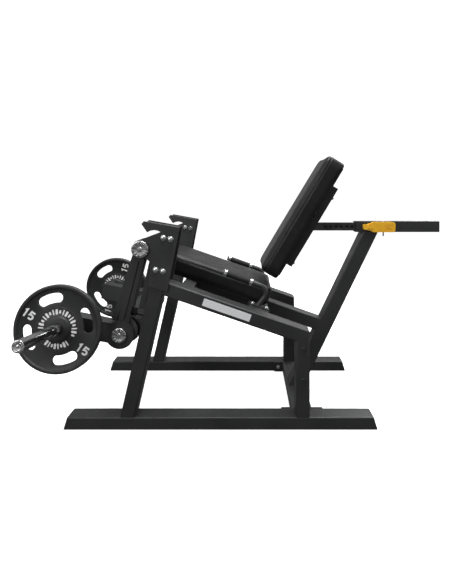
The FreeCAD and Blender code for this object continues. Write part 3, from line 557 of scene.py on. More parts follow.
# ---- bolts and caps ----
def dome_bolt(bm, seat, axis, radius, height):
    """Washer with a domed nut on it."""
    rim = 0.0018
    washer = [(0.0, 0.0), (radius, 0.0)]
    washer += arc((radius - 0.0006, rim - 0.0006), 0.0006, 0.0, 90.0, 3)
    neck = radius * 0.86
    dome_h = height - rim
    dome = [(neck, rim), (neck, rim + dome_h * 0.30)]
    for i in range(1, 9):
        a = math.radians(90.0 * i / 8.0)
        dome.append((neck * math.cos(a), rim + dome_h * (0.30 + 0.70 * math.sin(a))))
    dome[-1] = (0.0, height)
    lathe(bm, seat, axis, washer + dome, 40)


def socket_bolt(bm, seat, axis, radius, height):
    """Cap screw with a hexagon socket."""
    chamfer = min(radius, height) * 0.16
    key = radius * 0.95
    rings = [
        (round_radius, 0.0, 0.0),
        (round_radius, radius, 0.0),
        (round_radius, radius, height - chamfer),
        (round_radius, radius - chamfer * 0.35, height - chamfer * 0.3),
        (round_radius, radius - chamfer, height),
        (hex_radius, key, height),
        (hex_radius, key * 0.96, height - height * 0.55),
        (round_radius, 0.0, height - height * 0.62),
    ]
    add_rings(bm, seat, axis, rings, 48)


def hex_bolt(bm, seat, axis, radius, height):
    """Washer and hexagon head with a chamfered top."""
    washer = 0.0016
    across = radius * 1.60
    rings = [
        (round_radius, 0.0, 0.0),
        (round_radius, radius, 0.0),
        (round_radius, radius, washer),
        (hex_radius, across, washer),
        (hex_radius, across, height * 0.86),
        (round_radius, across * 0.47, height),
        (round_radius, 0.0, height),
    ]
    add_rings(bm, seat, axis, rings, 48)


def replace_bolts(name, node, body, material, axes, maker):
    """One object for a node's bolts. axes gives each solid's outward direction."""
    bm = bmesh.new()
    for points in islands(node):
        for axis in axes(points):
            low, high = extent(points, axis)
            maker(bm, points, axis, low, high)
    obj = add_object(name, bm, material, body)
    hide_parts(node)
    return obj


def outward_y(points):
    side = 1.0 if sum(p.y for p in points) > 0 else -1.0
    return [Y_AXIS * side]


def bracket_bolt(bm, points, axis, low, high):
    """Domed nut outside, hexagon head inside, threaded shank between."""
    radius = half_width(points, Z_AXIS)
    centre = middle(points, axis)
    head = 0.011
    dome_bolt(bm, centre + axis * (high - head), axis, radius, head)
    hex_bolt(bm, centre + axis * (low + head), -axis, radius - 0.001, head)
    lathe(bm, centre, axis, [(0.0, low + head), (0.008, low + head), (0.008, high - head),
                             (0.0, high - head)], 32)


for side in SIDES:
    replace_bolts(f"bracket_fasteners_{side}", f"bracket_bolts_{side}", "frame", ZINC,
                  outward_y, bracket_bolt)


def leg_bolt(bm, points, axis, low, high):
    centre = middle(points, axis)
    radius = half_width(points, Z_AXIS)
    head = 0.007
    socket_bolt(bm, centre + axis * (high - head), axis, radius, head)
    lathe(bm, centre, axis, [(0.0, low), (0.0055, low), (0.006, low + 0.001),
                             (0.006, high - head), (0.0, high - head)], 32)


replace_bolts("rear_leg_screws", "rear_leg_bolts", "frame", PAINT, outward_y, leg_bolt)


def whole_head(maker):
    """Bolt maker for solids that are only a head."""
    def make(bm, points, axis, low, high):
        radius = half_width(points, basis(axis)[1])
        maker(bm, middle(points, axis) + axis * low, axis, radius, high - low)
    return make


def inward_y(points):
    return [-axis for axis in outward_y(points)]


replace_bolts("cross_tube_screws", "cross_tube_bolts", "frame", ZINC, inward_y,
              whole_head(hex_bolt))
BACK_NORMAL = Vector((math.cos(BACK_LEAN), 0, -math.sin(BACK_LEAN)))
replace_bolts("back_screws", "back_bolts", "back_rest", ZINC,
              lambda points: [BACK_NORMAL], whole_head(dome_bolt))


# ---- broad chrome caps of the lever pivots, the roller axle and the horns ----
def cap_profile(radius, height, start=0.0):
    """Shallow chrome cap: rolled rim, groove, gently domed face with a centre dimple."""
    rim = 0.0045
    face = start + height
    points = [(radius, start)]
    points += arc((radius - rim, face - rim), rim, 0.0, 90.0, 8)
    points += [
        (radius * 0.80, face),
        (radius * 0.77, face - 0.0016),
        (radius * 0.73, face - 0.0016),
        (radius * 0.70, face - 0.0002),
    ]
    for i in range(1, 9):
        t = i / 8.0
        r = radius * (0.70 - 0.42 * t)
        points.append((r, face - 0.0002 - 0.0022 * math.sin(math.pi / 2.0 * t)))
    points += [
        (radius * 0.25, face - 0.0010),
        (radius * 0.16, face - 0.0004),
        (0.0, face - 0.0004),
    ]
    return points


def pivot_piece(side, sign):
    node = f"pivot_axle_{side}"
    low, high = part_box(node)
    axis = Y_AXIS * sign
    inner, outer = extent([low, high], axis)
    cap_r = min((high.z - low.z) / 2.0, 0.041)
    cap_h = 0.014
    stub_h = 0.008
    bm = bmesh.new()
    origin = Vector((PIVOT.x, 0.0, PIVOT.z))
    profile = [(0.0, inner), (0.0195, inner), (0.022, inner + 0.0025), (0.022, inner + stub_h)]
    profile += [(0.015, inner + stub_h), (0.015, outer - cap_h)]
    profile += cap_profile(cap_r, cap_h, outer - cap_h)
    lathe(bm, origin, axis, profile, 96)
    obj = add_object(f"pivot_cap_{side}", bm, PIVOT_CHROME, "frame")
    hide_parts(node)


for side, sign in SIDES.items():
    pivot_piece(side, sign)


def axle_cap_piece():
    bm = bmesh.new()
    for points in islands("axle_caps"):
        axis = outward_y(points)[0]
        low, high = extent(points, axis)
        radius = half_width(points, Z_AXIS)
        profile = [(0.0, low)] + cap_profile(radius, high - low, low)
        lathe(bm, Vector((ROLLER.x, 0.0, ROLLER.z)), axis, profile, 96)
    obj = add_object("axle_end_caps", bm, AXLE_CHROME, "lever")
    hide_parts("axle_caps")


axle_cap_piece()


def horn_cap_piece():
    bm = bmesh.new()
    for side, sign in SIDES.items():
        mount = MOUNTS[f"horn_{side}"]
        axis = Vector(mount["axis"]).normalized()
        radius = mount["dims"]["r_mm"] / 1000.0
        points = [g for g in islands("horn_caps") if sign * sum(p.y for p in g) > 0][0]
        low, high = extent(points, axis)
        start = middle(points, axis)
        disc = 0.004
        profile = [(0.0, low), (0.018, low), (radius - 0.005, low + 0.002)]
        profile += [(radius - 0.005, high - disc), (radius, high - disc)]
        profile += arc((radius - 0.0025, high - 0.0025), 0.0025, 0.0, 90.0, 6)
        profile += [(radius * 0.74, high), (radius * 0.70, high - 0.0012)]
        profile += [(radius * 0.64, high - 0.0012), (radius * 0.60, high - 0.0002)]
        profile += [(radius * 0.30, high - 0.0018), (radius * 0.2, high - 0.0004)]
        profile.append((0.0, high - 0.0002))
        lathe(bm, start, axis, profile, 72)
    obj = add_object("horn_end_caps", bm, HORN_CHROME, "lever")
    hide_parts("horn_caps")


horn_cap_piece()


# ---- rubber bumpers of the lever stops ----
def bumper_piece():
    bm = bmesh.new()
    arm = (ROLLER - PIVOT).normalized()
    axis = Vector((arm.z, 0.0, -arm.x))
    if axis.x > 0:
        axis = -axis
    for points in islands("stop_bumpers"):
        low, high = extent(points, axis)
        radius = half_width(points, Y_AXIS)
        length = high - low
        profile = [(0.0, low), (radius, low)]
        for i in range(1, 4):
            mid = low + length * (0.22 * i)
            profile += [(radius, mid - 0.0016), (radius - 0.0014, mid), (radius, mid + 0.0016)]
        profile += arc((radius - 0.004, high - 0.004), 0.004, 0.0, 90.0, 5)
        profile += [(0.0, high)]
        lathe(bm, middle(points, axis), axis, profile, 48)
    obj = add_object("bumper_rubbers", bm, RUBBER, "frame")
    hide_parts("stop_bumpers")


bumper_piece()


# ---- weight plates ----
SLOT_CENTRES = (16.0, 106.0, 196.0, 286.0)
PLATE_TURN = {"left": 0.0, "right": 19.0}
SLOT_HALF_ANGLE = 15.0
SLOT_BAND = (0.59, 0.81)    # inner and outer edge of the slots, of the plate's radius
PLATE_HALF = 0.015          # from the plate's middle to its rim and hub faces
PLATE_WEB = 0.0065          # the same to the face between them
PLATE_BORE = 0.0259
PLATE_HUB = 0.056


def plate_frame(side):
    """Centre, outward axis, and the two face directions (forward-back and up) of a plate."""
    mount = MOUNTS[f"horn_{side}"]
    axis = Vector(mount["axis"]).normalized()
    low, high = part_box(f"weight_plate_{side}")
    centre = (low + high) / 2.0
    up = axis.cross(X_AXIS)
    if up.z < 0:
        up = -up
    return centre, axis, X_AXIS, up


def plate_point(placing, radius, angle, height):
    centre, axis, along, up = placing
    a = math.radians(angle)
    return centre + (along * math.cos(a) + up * math.sin(a)) * radius + axis * height


def plate_half_profile(radius):
    """From the bore's edge out to the rim's middle, all turned corners rounded."""
    half, web, bore, hub = PLATE_HALF, PLATE_WEB, PLATE_BORE, PLATE_HUB
    rim_in = radius - 0.016
    points = [(bore, half - 0.0015), (bore + 0.0015, half), (hub - 0.004, half)]
    points += [(hub - 0.0015, half - 0.0008), (hub, half - 0.003)]
    points += [(hub + 0.005, web + 0.0015), (hub + 0.008, web)]
    points += [(0.094, web), (0.0955, web + 0.0012), (0.0985, web + 0.0012), (0.100, web)]
    points += [(rim_in - 0.008, web), (rim_in - 0.005, web + 0.0015)]
    points += [(rim_in - 0.001, half - 0.003), (rim_in + 0.0005, half - 0.0008)]
    points.append((rim_in + 0.003, half))
    points += arc((radius - 0.006, half - 0.006), 0.006, 90.0, 0.0, 6)
    return points


def slot_cutter(placing, radius, turn):
    """Prism through the plate with round ends, one for each grip slot."""
    bm = bmesh.new()
    inner, outer = SLOT_BAND[0] * radius, SLOT_BAND[1] * radius
    mid, cap = (inner + outer) / 2.0, (outer - inner) / 2.0
    steps = 16
    depth = PLATE_HALF * 1.5
    for first_angle in SLOT_CENTRES:
        outline = []
        for flip in (1.0, -1.0):
            edge = outer if flip > 0 else inner
            reach = flip * SLOT_HALF_ANGLE
            for i in range(steps + 1):
                outline.append((edge, first_angle + turn + reach * (2.0 * i / steps - 1.0)))
            for i in range(1, steps):
                sweep = math.radians(180.0 * i / steps)
                u = mid + flip * cap * math.cos(sweep)
                v = flip * cap * math.sin(sweep)
                bend = math.degrees(math.atan2(v, u))
                outline.append((math.hypot(u, v), first_angle + turn + reach + bend))
        low = [bm.verts.new(plate_point(placing, r, a, -depth)) for r, a in outline]
        high = [bm.verts.new(plate_point(placing, r, a, depth)) for r, a in outline]
        bm.faces.new(low)
        bm.faces.new(list(reversed(high)))
        strip(bm, high, low)
    return mesh_from("slot_cutter", bm)


def apply_modifiers(obj):
    depsgraph = bpy.context.evaluated_depsgraph_get()
    evaluated = obj.evaluated_get(depsgraph)
    mesh = bpy.data.meshes.new_from_object(evaluated)
    obj.modifiers.clear()
    obj.data = mesh


def cut_away(obj, shape):
    """Take a closed shape out of an object."""
    cutter = link_object("cutter", shape)
    cut = obj.modifiers.new("cut", "BOOLEAN")
    cut.operation = "DIFFERENCE"
    cut.solver = "EXACT"
    cut.object = cutter
    bpy.context.view_layer.update()
    apply_modifiers(obj)
    bpy.data.objects.remove(cutter)


def stroke(points, width):
    """Outline of a broad pen line through points, with mitred corners."""
    left, right = [], []
    for i, point in enumerate(points):
        before = points[max(i - 1, 0)]
        after = points[min(i + 1, len(points) - 1)]
        first = (point - before).normalized() if i > 0 else (after - point).normalized()
        second = (after - point).normalized() if i < len(points) - 1 else first
        normal = Vector((-(first.y + second.y), first.x + second.x)).normalized()
        reach = width / 2.0 / max(0.35, normal.dot(Vector((-first.y, first.x))))
        left.append(point + normal * reach)
        right.append(point - normal * reach)
    return left, right


def digit_lines():
    """Pen lines of a bold 1 and 5, one unit tall, side by side about the origin."""
    one = [Vector(p) for p in ((-0.62, 0.26), (-0.40, 0.41), (-0.40, -0.50))]
    five = [Vector(p) for p in ((0.66, 0.40), (0.16, 0.40), (0.11, 0.02))]
    for i in range(13):
        a = math.radians(118.0 - 250.0 * i / 12.0)
        five.append(Vector((0.345 + 0.285 * math.cos(a), -0.155 + 0.245 * math.sin(a))))
    return one, five


def add_digits(bm, spot, read, tall, outward, height):
    """Raised numerals on a plate's face."""
    thick = 0.0014
    for line in digit_lines():
        left, right = stroke(line, 0.205)
        rails = []
        for side in (left, right):
            flat = [spot + read * (p.x * height) + tall * (p.y * height) for p in side]
            low = [bm.verts.new(p - outward * 0.0004) for p in flat]
            high = [bm.verts.new(p + outward * thick) for p in flat]
            rails.append((low, high))
        (low_a, high_a), (low_b, high_b) = rails
        for i in range(len(high_a) - 1):
            bm.faces.new((high_a[i], high_a[i + 1], high_b[i + 1], high_b[i]))
            bm.faces.new((low_a[i], low_b[i], low_b[i + 1], low_a[i + 1]))
            bm.faces.new((low_a[i], low_a[i + 1], high_a[i + 1], high_a[i]))
            bm.faces.new((low_b[i], high_b[i], high_b[i + 1], low_b[i + 1]))
        for i in (0, -1):
            bm.faces.new((low_a[i], high_a[i], high_b[i], low_b[i]))


# Angle round the plate and reading direction of each numeral, seen from the left. The
# faces that look right mirror them, which keeps them clear of the grip slots.
NUMERALS = {
    "left": ((153.5, -34.0), (-37.5, -34.0)),
    "right": ((67.0, 70.6), (247.0, 70.6)),
}
NUMERAL_RADIUS = 0.745
NUMERAL_HEIGHT = 0.040
MARK_RADIUS = 0.385


def plate_marks(side, placing, radius):
    """White numerals, and plain dashes round the hub, on both faces of a plate."""
    centre, axis, _, up = placing
    bm = bmesh.new()
    for outward in (axis, -axis):
        right = up.cross(outward).normalized()
        for angle, tilt in NUMERALS[side]:
            if outward.y > 0:
                angle, tilt = 180.0 - angle, -tilt
            a, t = math.radians(angle), math.radians(tilt)
            spot = centre + (right * math.cos(a) + up * math.sin(a)) * (NUMERAL_RADIUS * radius)
            read = right * math.cos(t) + up * math.sin(t)
            tall = up * math.cos(t) - right * math.sin(t)
            add_digits(bm, spot + outward * PLATE_WEB, read, tall, outward, NUMERAL_HEIGHT)
        add_dashes(bm, centre + outward * PLATE_WEB, outward, right, up, radius * MARK_RADIUS)
    add_object(f"plate_marks_{side}", bm, WHITE, f"plate_{side}")


DASH_SPANS = ((176.0, -22.0, 18), (306.0, 232.0, 8))    # first and last angle, how many
DASH_SIZES = ((0.0060, 0.0250), (0.0105, 0.0250), (0.0085, 0.0150))


def add_dashes(bm, centre, outward, right, up, radius):
    """Two arcs of short rounded bars around the hub."""
    thick = 0.0012
    for start, stop, count in DASH_SPANS:
        for i in range(count):
            angle = math.radians(start + (stop - start) / (count - 1) * i)
            wide, tall = DASH_SIZES[i % 3]
            radial = right * math.cos(angle) + up * math.sin(angle)
            tangent = outward.cross(radial)
            corners = []
            for k in range(16):
                a = 2.0 * math.pi * k / 16
                cx, cy = (math.copysign(abs(part) ** 0.38, part) for part in (math.cos(a), math.sin(a)))
                corners.append(centre + radial * (radius + cy * tall / 2.0) + tangent * cx * wide / 2.0)
            low = [bm.verts.new(c - outward * 0.0004) for c in corners]
            high = [bm.verts.new(c + outward * thick) for c in corners]
            bm.faces.new(high)
            strip(bm, low, high)


def plate_piece(side):
    node = f"weight_plate_{side}"
    placing = plate_frame(side)
    centre, axis = placing[:2]
    low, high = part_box(node)
    radius = (high.x - low.x) / 2.0
    front = plate_half_profile(radius)
    back = [(r, -h) for r, h in reversed(front)]
    bm = bmesh.new()
    lathe(bm, centre, axis, front + back + front[:1], 160)
    bmesh.ops.remove_doubles(bm, verts=bm.verts, dist=1e-6)
    obj = add_object(f"iron_plate_{side}", bm, IRON, f"plate_{side}")
    cut_away(obj, slot_cutter(placing, radius, PLATE_TURN[side]))
    round_edges(obj, 0.0022, 3, 60.0)
    bpy.context.view_layer.update()
    apply_modifiers(obj)
    only_material(obj.data, IRON)
    shade_by_angle(obj.data, 28.0)
    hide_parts(node)
    plate_marks(side, placing, radius)


for side in SIDES:
    plate_piece(side)


# ---- upholstery ----
PAD_START = 0.002       # how much smaller a cover starts than its finished size
PAD_SWELL = 0.0025      # the most that pressure may move a point
PAD_VOXEL = 0.0055
BOARD_LIP = 0.0015      # a board's back stands this far out of its cover


def simulate_pad(obj):
    """Blow the cover up a little by pressure, then keep the result."""
    cloth = obj.modifiers.new("cloth", "CLOTH")
    settings = cloth.settings
    settings.use_pressure = True
    settings.uniform_pressure_force = 1.5
    settings.effector_weights.gravity = 0.0
    settings.quality = 5
    settings.mass = 0.4
    settings.tension_stiffness = 12.0
    settings.compression_stiffness = 12.0
    settings.bending_stiffness = 2.0
    cloth.collision_settings.use_collision = False
    scene = bpy.context.scene
    scene.frame_start = 1
    scene.frame_end = 20
    for number in range(1, 21):
        scene.frame_set(number)
    before = np.array([v.co for v in obj.data.vertices])
    evaluated = obj.evaluated_get(bpy.context.evaluated_depsgraph_get())
    after = np.array([v.co for v in evaluated.data.vertices])
    obj.modifiers.clear()
    scene.frame_set(1)
    moved = after - before
    size = np.linalg.norm(moved, axis=1, keepdims=True)
    moved *= np.minimum(1.0, PAD_SWELL / np.maximum(size, 1e-9))
    obj.data.vertices.foreach_set("co", (before + moved).ravel())


class Pad:
    """Local frame of a pad: along its length, across it, and out of its face."""

    def __init__(self, pad_node, board_node, length, face):
        self.pad_node = pad_node
        self.board_node = board_node
        self.length = length.normalized()
        self.face = face.normalized()
        points = [v.co for v in NODES[pad_node].data.vertices]
        board = [v.co for v in NODES[board_node].data.vertices]
        self.u = extent(points, self.length)
        self.w = extent(points, Y_AXIS)
        back = extent(board, self.face)[0] + BOARD_LIP
        self.n = (back, extent(points, self.face)[1])
        self.centre = self.at(0.0, 0.0, 0.0)
        self.halves = [(hi - lo) / 2.0 for lo, hi in (self.u, self.w, self.n)]

    def at(self, u, w, n):
        """Point at -1 to +1 along each of the pad's three directions."""
        place = Vector()
        for value, (lo, hi), axis in (
            (u, self.u, self.length),
            (w, self.w, Y_AXIS),
            (n, self.n, self.face),
        ):
            place += axis * (lo + (hi - lo) * (value + 1.0) / 2.0)
        return place

    def local(self, point):
        """The same point in metres from the pad's centre."""
        away = point - self.centre
        return away.dot(self.length), away.dot(Y_AXIS), away.dot(self.face)

    def world(self, u, w, n):
        return self.centre + self.length * u + Y_AXIS * w + self.face * n


def rounded_box(pad, inset, corner, edge):
    """Block with round plan corners and soft face edges, as one closed grid."""
    hu, hw, hn = (h - inset for h in pad.halves)
    bm = bmesh.new()
    outline = []
    steps = 8
    for su, sw, start in ((1, 1, 0), (-1, 1, 90), (-1, -1, 180), (1, -1, 270)):
        for i in range(steps + 1):
            a = math.radians(start + 90.0 * i / steps)
            outline.append((su * (hu - corner) + corner * math.cos(a),
                            sw * (hw - corner) + corner * math.sin(a)))
    layers = [(-hn, 0.004), (-hn + 0.004, 0.0), (hn - edge, 0.0)]
    for i in range(1, 7):
        a = math.radians(90.0 * i / 6)
        layers.append((hn - edge + edge * math.sin(a), edge * (1.0 - math.cos(a))))
    rings = []
    for level, pull in layers:
        ring = []
        for u, w in outline:
            scale_u = (hu - pull) / hu
            scale_w = (hw - pull) / hw
            ring.append(bm.verts.new(pad.world(u * scale_u, w * scale_w, level)))
        rings.append(ring)
    for low, high in zip(rings, rings[1:]):
        strip(bm, low, high)
    bm.faces.new(list(reversed(rings[0])))
    bm.faces.new(rings[-1])
    return bm


def smooth_mesh(mesh, times):
    bm = bmesh.new()
    bm.from_mesh(mesh)
    for _ in range(times):
        bmesh.ops.smooth_vert(bm, verts=bm.verts, factor=0.5, use_axis_x=True, use_axis_y=True,
                              use_axis_z=True)
    bm.to_mesh(mesh)
    bm.free()


def dress_pad(mesh, pad, seam, crown, dish):
    """Crown the face, pull the wall in at the seam, and keep the back flat."""
    hu, hw, hn = pad.halves
    reach = 0.0025
    for v in mesh.vertices:
        u, w, n = pad.local(v.co)
        along = max(0.0, 1.0 - (u / hu) ** 4)
        over = max(0.0, 1.0 - (w / hw) ** 4)
        if n > 0:
            worn = math.exp(-((u / hu - 0.25) ** 2) / 0.18 - (w / hw) ** 2 / 0.3)
            n += (crown * along * over - crown * 0.8 - dish * worn) * (n / hn)
        # the wall is drawn in where the face panel is sewn to the side band
        pull = 0.0022 * math.exp(-((n - seam * hn) / 0.0045) ** 2)
        wall = max(abs(u) / hu, abs(w) / hw)
        if wall > 0.9:
            u -= math.copysign(pull, u) * (abs(u) > 0.93 * hu)
            w -= math.copysign(pull, w) * (abs(w) > 0.90 * hw)
            # long shallow puckers along the band, as stretched vinyl has
            ripple = math.sin(u * 61.0 + w * 47.0) * math.sin(u * 23.0 - w * 31.0 + 1.3)
            u += math.copysign(0.0005 * ripple, u) * (abs(u) > 0.93 * hu)
            w += math.copysign(0.0005 * ripple, w) * (abs(w) > 0.90 * hw)
        n = max(n, -hn)
        u = max(-hu - reach, min(hu + reach, u))
        w = max(-hw - reach, min(hw + reach, w))
        n = min(n, hn + reach)
        v.co = pad.world(u, w, n)


def cut_board_pocket(obj, pad):
    """Flat pocket in the cover's back, where its board sits."""
    board = [v.co for v in NODES[pad.board_node].data.vertices]
    bm = bmesh.new()
    gap = 0.0015
    lo_u, hi_u = extent(board, pad.length)
    lo_w, hi_w = extent(board, Y_AXIS)
    hi_n = extent(board, pad.face)[1]
    corners = []
    for n in (pad.n[0] - 0.02, hi_n - 0.0005):
        for u, w in ((lo_u, lo_w), (hi_u, lo_w), (hi_u, hi_w), (lo_u, hi_w)):
            grow_u = gap if u == hi_u else -gap
            grow_w = gap if w == hi_w else -gap
            place = pad.length * (u + grow_u) + Y_AXIS * (w + grow_w) + pad.face * n
            corners.append(bm.verts.new(place))
    bm.faces.new(corners[3::-1])
    bm.faces.new(corners[4:])
    strip(bm, corners[:4], corners[4:])
    cut_away(obj, mesh_from("pocket_cutter", bm))


def pad_piece(name, body, pad, corner, edge, seam, crown, dish):
    """A wrapped pad: crowned face, rounded edges, sewn band, board in its back."""
    obj = add_object(name, rounded_box(pad, PAD_START, corner, edge), VINYL, body)
    remesh = obj.modifiers.new("remesh", "REMESH")
    remesh.mode = "VOXEL"
    remesh.voxel_size = PAD_VOXEL
    apply_modifiers(obj)
    smooth_mesh(obj.data, 3)
    simulate_pad(obj)
    fit_to_size(obj.data, pad)
    smooth_mesh(obj.data, 2)
    finer = obj.modifiers.new("finer", "SUBSURF")
    finer.levels = 1
    finer.render_levels = 1
    apply_modifiers(obj)
    dress_pad(obj.data, pad, seam, crown, dish)
    cut_board_pocket(obj, pad)
    only_material(obj.data, VINYL)
    shade_by_angle(obj.data, 45.0)
    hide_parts(pad.pad_node)
    return obj


def fit_to_size(mesh, pad):
    """Scale the blown-up cover so that it fills its pad's own size exactly."""
    local = [pad.local(v.co) for v in mesh.vertices]
    reach = [max(abs(p[k]) for p in local) for k in range(3)]
    scale = [pad.halves[k] / reach[k] for k in range(3)]
    for v, p in zip(mesh.vertices, local):
        v.co = pad.world(p[0] * scale[0], p[1] * scale[1], p[2] * scale[2])


def seam_line(obj, pad, level, count=360):
    """Points on the pad's side walls at a level between its back (-1) and face (+1)."""
    tree = BVHTree.FromPolygons([v.co for v in obj.data.vertices],
                                [p.vertices for p in obj.data.polygons])
    hu, hw, hn = pad.halves
    line = []
    inner = hw * 0.7
    for i in range(count):
        angle = 2.0 * math.pi * i / count
        # walk round a box, so that the points keep an even spacing on long walls
        reach_u, reach_w = math.cos(angle), math.sin(angle)
        scale = 1.0 / max(abs(reach_u), abs(reach_w))
        u, w = reach_u * scale * hu * 1.2, reach_w * scale * hw * 1.2
        aim_u = max(-(hu - inner), min(hu - inner, u))
        start = pad.world(u, w, level * hn)
        aim = pad.world(aim_u, 0.0, level * hn)
        hit = tree.ray_cast(start, (aim - start).normalized())[0]
        if hit is not None:
            line.append(hit)
    return line


def even_path(points, spacing):
    """The closed path resampled at an even spacing."""
    ring = points + [points[0]]
    lengths = [0.0]
    for a, b in zip(ring, ring[1:]):
        lengths.append(lengths[-1] + (b - a).length)
    count = max(8, int(lengths[-1] / spacing))
    result = []
    k = 0
    for i in range(count):
        goal = lengths[-1] * i / count
        while lengths[k + 1] < goal:
            k += 1
        gap = max(lengths[k + 1] - lengths[k], 1e-9)
        result.append(ring[k].lerp(ring[k + 1], (goal - lengths[k]) / gap))
    return result


def add_seam(name, body, obj, pad, level):
    """Welt cord sewn in around the pad, and a row of stitches beside it."""
    welt = even_path(seam_line(obj, pad, level), 0.007)
    bm = bmesh.new()
    tube_along(bm, welt, 0.0016, closed=True, sides=8)
    add_object(f"{name}_welt", bm, VINYL, body)
    path = even_path(seam_line(obj, pad, level - 0.0075 / pad.halves[2]), 0.0052)
    bm = bmesh.new()
    for i, a in enumerate(path):
        b = path[(i + 1) % len(path)]
        along = b - a
        out = a - pad.centre
        out -= pad.face * out.dot(pad.face)
        bow = out.normalized() * 0.0004
        start = a + along * 0.12
        stop = a + along * 0.80
        tube_along(bm, [start - bow, (start + stop) / 2.0 + bow, stop - bow], 0.00042, sides=6)
    add_object(f"{name}_stitches", bm, THREAD, body)


SEAT_LENGTH = Vector((math.cos(SEAT_SLOPE), 0, -math.sin(SEAT_SLOPE)))
SEAT_NORMAL = Vector((math.sin(SEAT_SLOPE), 0, math.cos(SEAT_SLOPE)))
BACK_LENGTH = Vector((math.sin(BACK_LEAN), 0, math.cos(BACK_LEAN)))
seat_pad = Pad("seat_pad", "seat_board", SEAT_LENGTH, SEAT_NORMAL)
back_pad = Pad("back_pad", "back_board", BACK_LENGTH, -BACK_NORMAL)
seat = pad_piece("seat_cover", "frame", seat_pad, 0.030, 0.020, 0.52, 0.0045, 0.002)
back = pad_piece("back_cover", "back_rest", back_pad, 0.034, 0.020, 0.50, 0.0045, 0.0)
add_seam("seat_seam", "frame", seat, seat_pad, 0.52)
add_seam("back_seam", "back_rest", back, back_pad, 0.50)


# ---- shin roller ----
def roller_piece():
    low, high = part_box("roller_foam")
    half = high.y
    radius = (high.z - low.z) / 2.0
    sleeve = (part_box("roller_sleeve")[1].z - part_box("roller_sleeve")[0].z) / 2.0
    corner = 0.014
    bm = bmesh.new()
    side = [(sleeve + 0.0005, half - 0.004), (sleeve + 0.004, half - 0.0005)]
    side += [(radius * 0.62, half), (radius - corner - 0.004, half - 0.0012)]
    side += arc((radius - corner, half - corner - 0.0012), corner, 80.0, 0.0, 8)
    steps = 24
    for i in range(steps + 1):
        t = 1.0 - i / steps
        side.append((radius - 0.0004 * math.sin(t * 40.0) ** 2, (half - corner - 0.004) * t))
    profile = side + [(r, -h) for r, h in reversed(side[:-1])] + side[:1]
    lathe(bm, Vector((ROLLER.x, 0.0, ROLLER.z)), Y_AXIS, profile, 96)
    bmesh.ops.remove_doubles(bm, verts=bm.verts, dist=1e-6)
    obj = add_object("roller_cover", bm, FOAM, "roller")
    shade_by_angle(obj.data, 50.0)
    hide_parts("roller_foam")


roller_piece()


# ---- grab handles: ribbed grips, collars and foot bolts ----
GRIP_AXIS = Vector((math.cos(GRIP_SLOPE), 0, -math.sin(GRIP_SLOPE)))


def grip_piece(side):
    node = f"handle_grip_{side}"
    points = [v.co.copy() for v in NODES[node].data.vertices]
    low, high = extent(points, GRIP_AXIS)
    centre = middle(points, GRIP_AXIS)
    outer = half_width(points, Y_AXIS)
    inner = outer - 0.003
    profile = [(inner, low), (outer - 0.001, low), (outer, low + 0.001)]
    ribs = 15
    pitch = (high - low - 0.010) / ribs
    for i in range(ribs):
        start = low + 0.005 + pitch * i
        profile += [(outer, start), (outer - 0.0003, start + pitch * 0.55)]
        profile += [(outer - 0.0012, start + pitch * 0.66), (outer - 0.0012, start + pitch * 0.86)]
        profile += [(outer - 0.0003, start + pitch * 0.97)]
    profile += [(outer, high - 0.001), (outer - 0.001, high), (inner, high)]
    bm = bmesh.new()
    lathe(bm, centre, GRIP_AXIS, profile, 48)
    obj = add_object(f"ribbed_grip_{side}", bm, RUBBER, "frame")
    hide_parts(node)


for side in SIDES:
    grip_piece(side)


def fitting_axes(points):
    """Collars lie along the grip, foot bolts stand square to the beams."""
    return [GRIP_AXIS] if half_width(points, Y_AXIS) > 0.015 else [SEAT_NORMAL]


def fitting(bm, points, axis, low, high):
    if axis is SEAT_NORMAL:
        whole_head(dome_bolt)(bm, points, axis, low, high)
        return
    outer = half_width(points, Y_AXIS)
    inner = outer - 0.006
    length = high - low
    profile = [(inner, low), (outer - 0.0015, low), (outer, low + 0.0015)]
    profile += [(outer, low + length * 0.36), (outer - 0.0012, low + length * 0.42)]
    profile += [(outer - 0.0012, low + length * 0.58), (outer, low + length * 0.64)]
    profile += [(outer, high - 0.0015), (outer - 0.0015, high), (inner, high)]
    lathe(bm, middle(points, axis), axis, profile, 56)


replace_bolts("handle_collars", "handle_fittings", "frame", CHROME, fitting_axes, fitting)


# ---- stage: floor, light, camera ----
def glowing(name, color, strength, rough):
    """Plain pale material that is lit evenly, as a studio sweep is."""
    m = Shader(name, Specular_IOR_Level=0.1, Emission_Strength=strength,
               Emission_Color=(1.0, 1.0, 1.0, 1.0))
    m.tint(m.noise(1.5, 4.0), color, tuple(c * 0.98 for c in color))
    m.gloss(m.noise(6.0), (rough, rough + 0.1))
    return m.material


def unseen_by_light(obj):
    """The sweep shows behind the machine but throws no light back on it."""
    obj.visible_diffuse = False
    obj.visible_glossy = False
    obj.visible_transmission = False


def make_floor():
    size = 40.0
    bm = bmesh.new()
    bmesh.ops.create_circle(bm, cap_ends=True, segments=96, radius=size)
    for v in bm.verts:
        v.co.z = -0.0005
    floor = link_object("floor", mesh_from("floor", bm))
    floor.data.materials.append(glowing("pale_floor", (0.85, 0.85, 0.85), 0.72, 0.75))
    unseen_by_light(floor)
    bm = bmesh.new()
    bmesh.ops.create_uvsphere(bm, u_segments=48, v_segments=24, radius=size)
    sweep = link_object("backdrop", mesh_from("backdrop", bm))
    sweep.data.materials.append(glowing("pale_backdrop", (0.5, 0.5, 0.5), 1.0, 0.9))
    unseen_by_light(sweep)
    sweep.visible_shadow = False


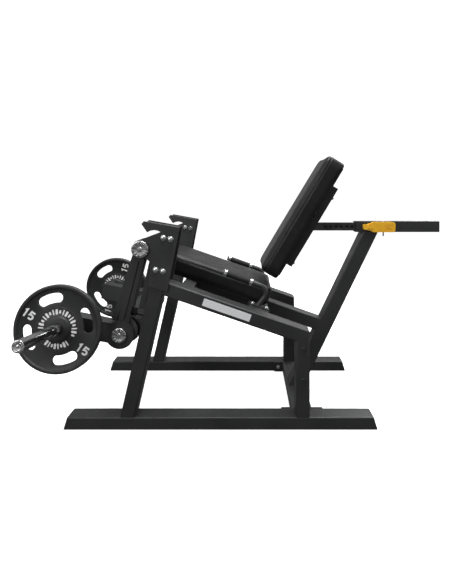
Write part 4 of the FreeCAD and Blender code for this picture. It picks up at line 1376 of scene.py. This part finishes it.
def area_light(name, place, aim, size, power):
    light = bpy.data.lights.new(name, "AREA")
    light.shape = "RECTANGLE"
    light.size = size[0]
    light.size_y = size[1]
    light.energy = power
    obj = link_object(name, light)
    obj.location = place
    obj.rotation_mode = "QUATERNION"
    obj.rotation_quaternion = (Vector(aim) - Vector(place)).to_track_quat("-Z", "Y")


def make_light():
    """Soft surroundings, brighter towards the top, with three softboxes."""
    world = bpy.data.worlds.new("studio")
    bpy.context.scene.world = world
    world.use_nodes = True
    tree = world.node_tree
    background = tree.nodes["Background"]
    background.inputs["Strength"].default_value = 1.0
    coords = tree.nodes.new("ShaderNodeTexCoord")
    split = tree.nodes.new("ShaderNodeSeparateXYZ")
    tree.links.new(coords.outputs["Generated"], split.inputs["Vector"])
    ramp = tree.nodes.new("ShaderNodeValToRGB")
    spread = tree.nodes.new("ShaderNodeMapRange")
    spread.inputs["From Min"].default_value = -1.0
    tree.links.new(split.outputs["Z"], spread.inputs["Value"])
    tree.links.new(spread.outputs["Result"], ramp.inputs["Fac"])
    stops = ((0.0, 0.10), (0.44, 0.14), (0.54, 0.50), (0.66, 0.34), (1.0, 0.42))
    elements = ramp.color_ramp.elements
    while len(elements) < len(stops):
        elements.new(0.5)
    for element, (place, level) in zip(elements, stops):
        element.position = place
        element.color = (level, level, level * 1.01, 1.0)
    tree.links.new(ramp.outputs["Color"], background.inputs["Color"])
    area_light("top_softbox", (0.3, -0.3, 4.0), (0.0, 0.0, 0.6), (3.0, 2.2), 210.0)
    area_light("front_softbox", (-3.0, -3.4, 2.6), (-0.2, 0.0, 0.6), (1.2, 2.2), 60.0)
    area_light("rear_softbox", (3.0, 3.0, 2.8), (0.0, 0.0, 0.6), (2.0, 1.6), 90.0)


def make_camera():
    """Level camera square to the machine's left side, a little above seat height."""
    camera = bpy.data.cameras.new("camera")
    camera.sensor_fit = "AUTO"
    camera.sensor_width = 36.0
    picture_height = 584.0
    camera.lens = 36.0 * 458.0 / picture_height
    camera.shift_x = -22.7 / picture_height
    camera.shift_y = -95.6 / picture_height
    camera.clip_end = 100.0
    obj = link_object("camera", camera)
    obj.location = (0.007, -2.6, 1.1126)
    obj.rotation_euler = (math.radians(90.0), 0.0, 0.0)
    bpy.context.scene.camera = obj


make_floor()
make_light()
make_camera()
bpy.context.scene.view_settings.view_transform = "Standard"

bpy.context.view_layer.update()
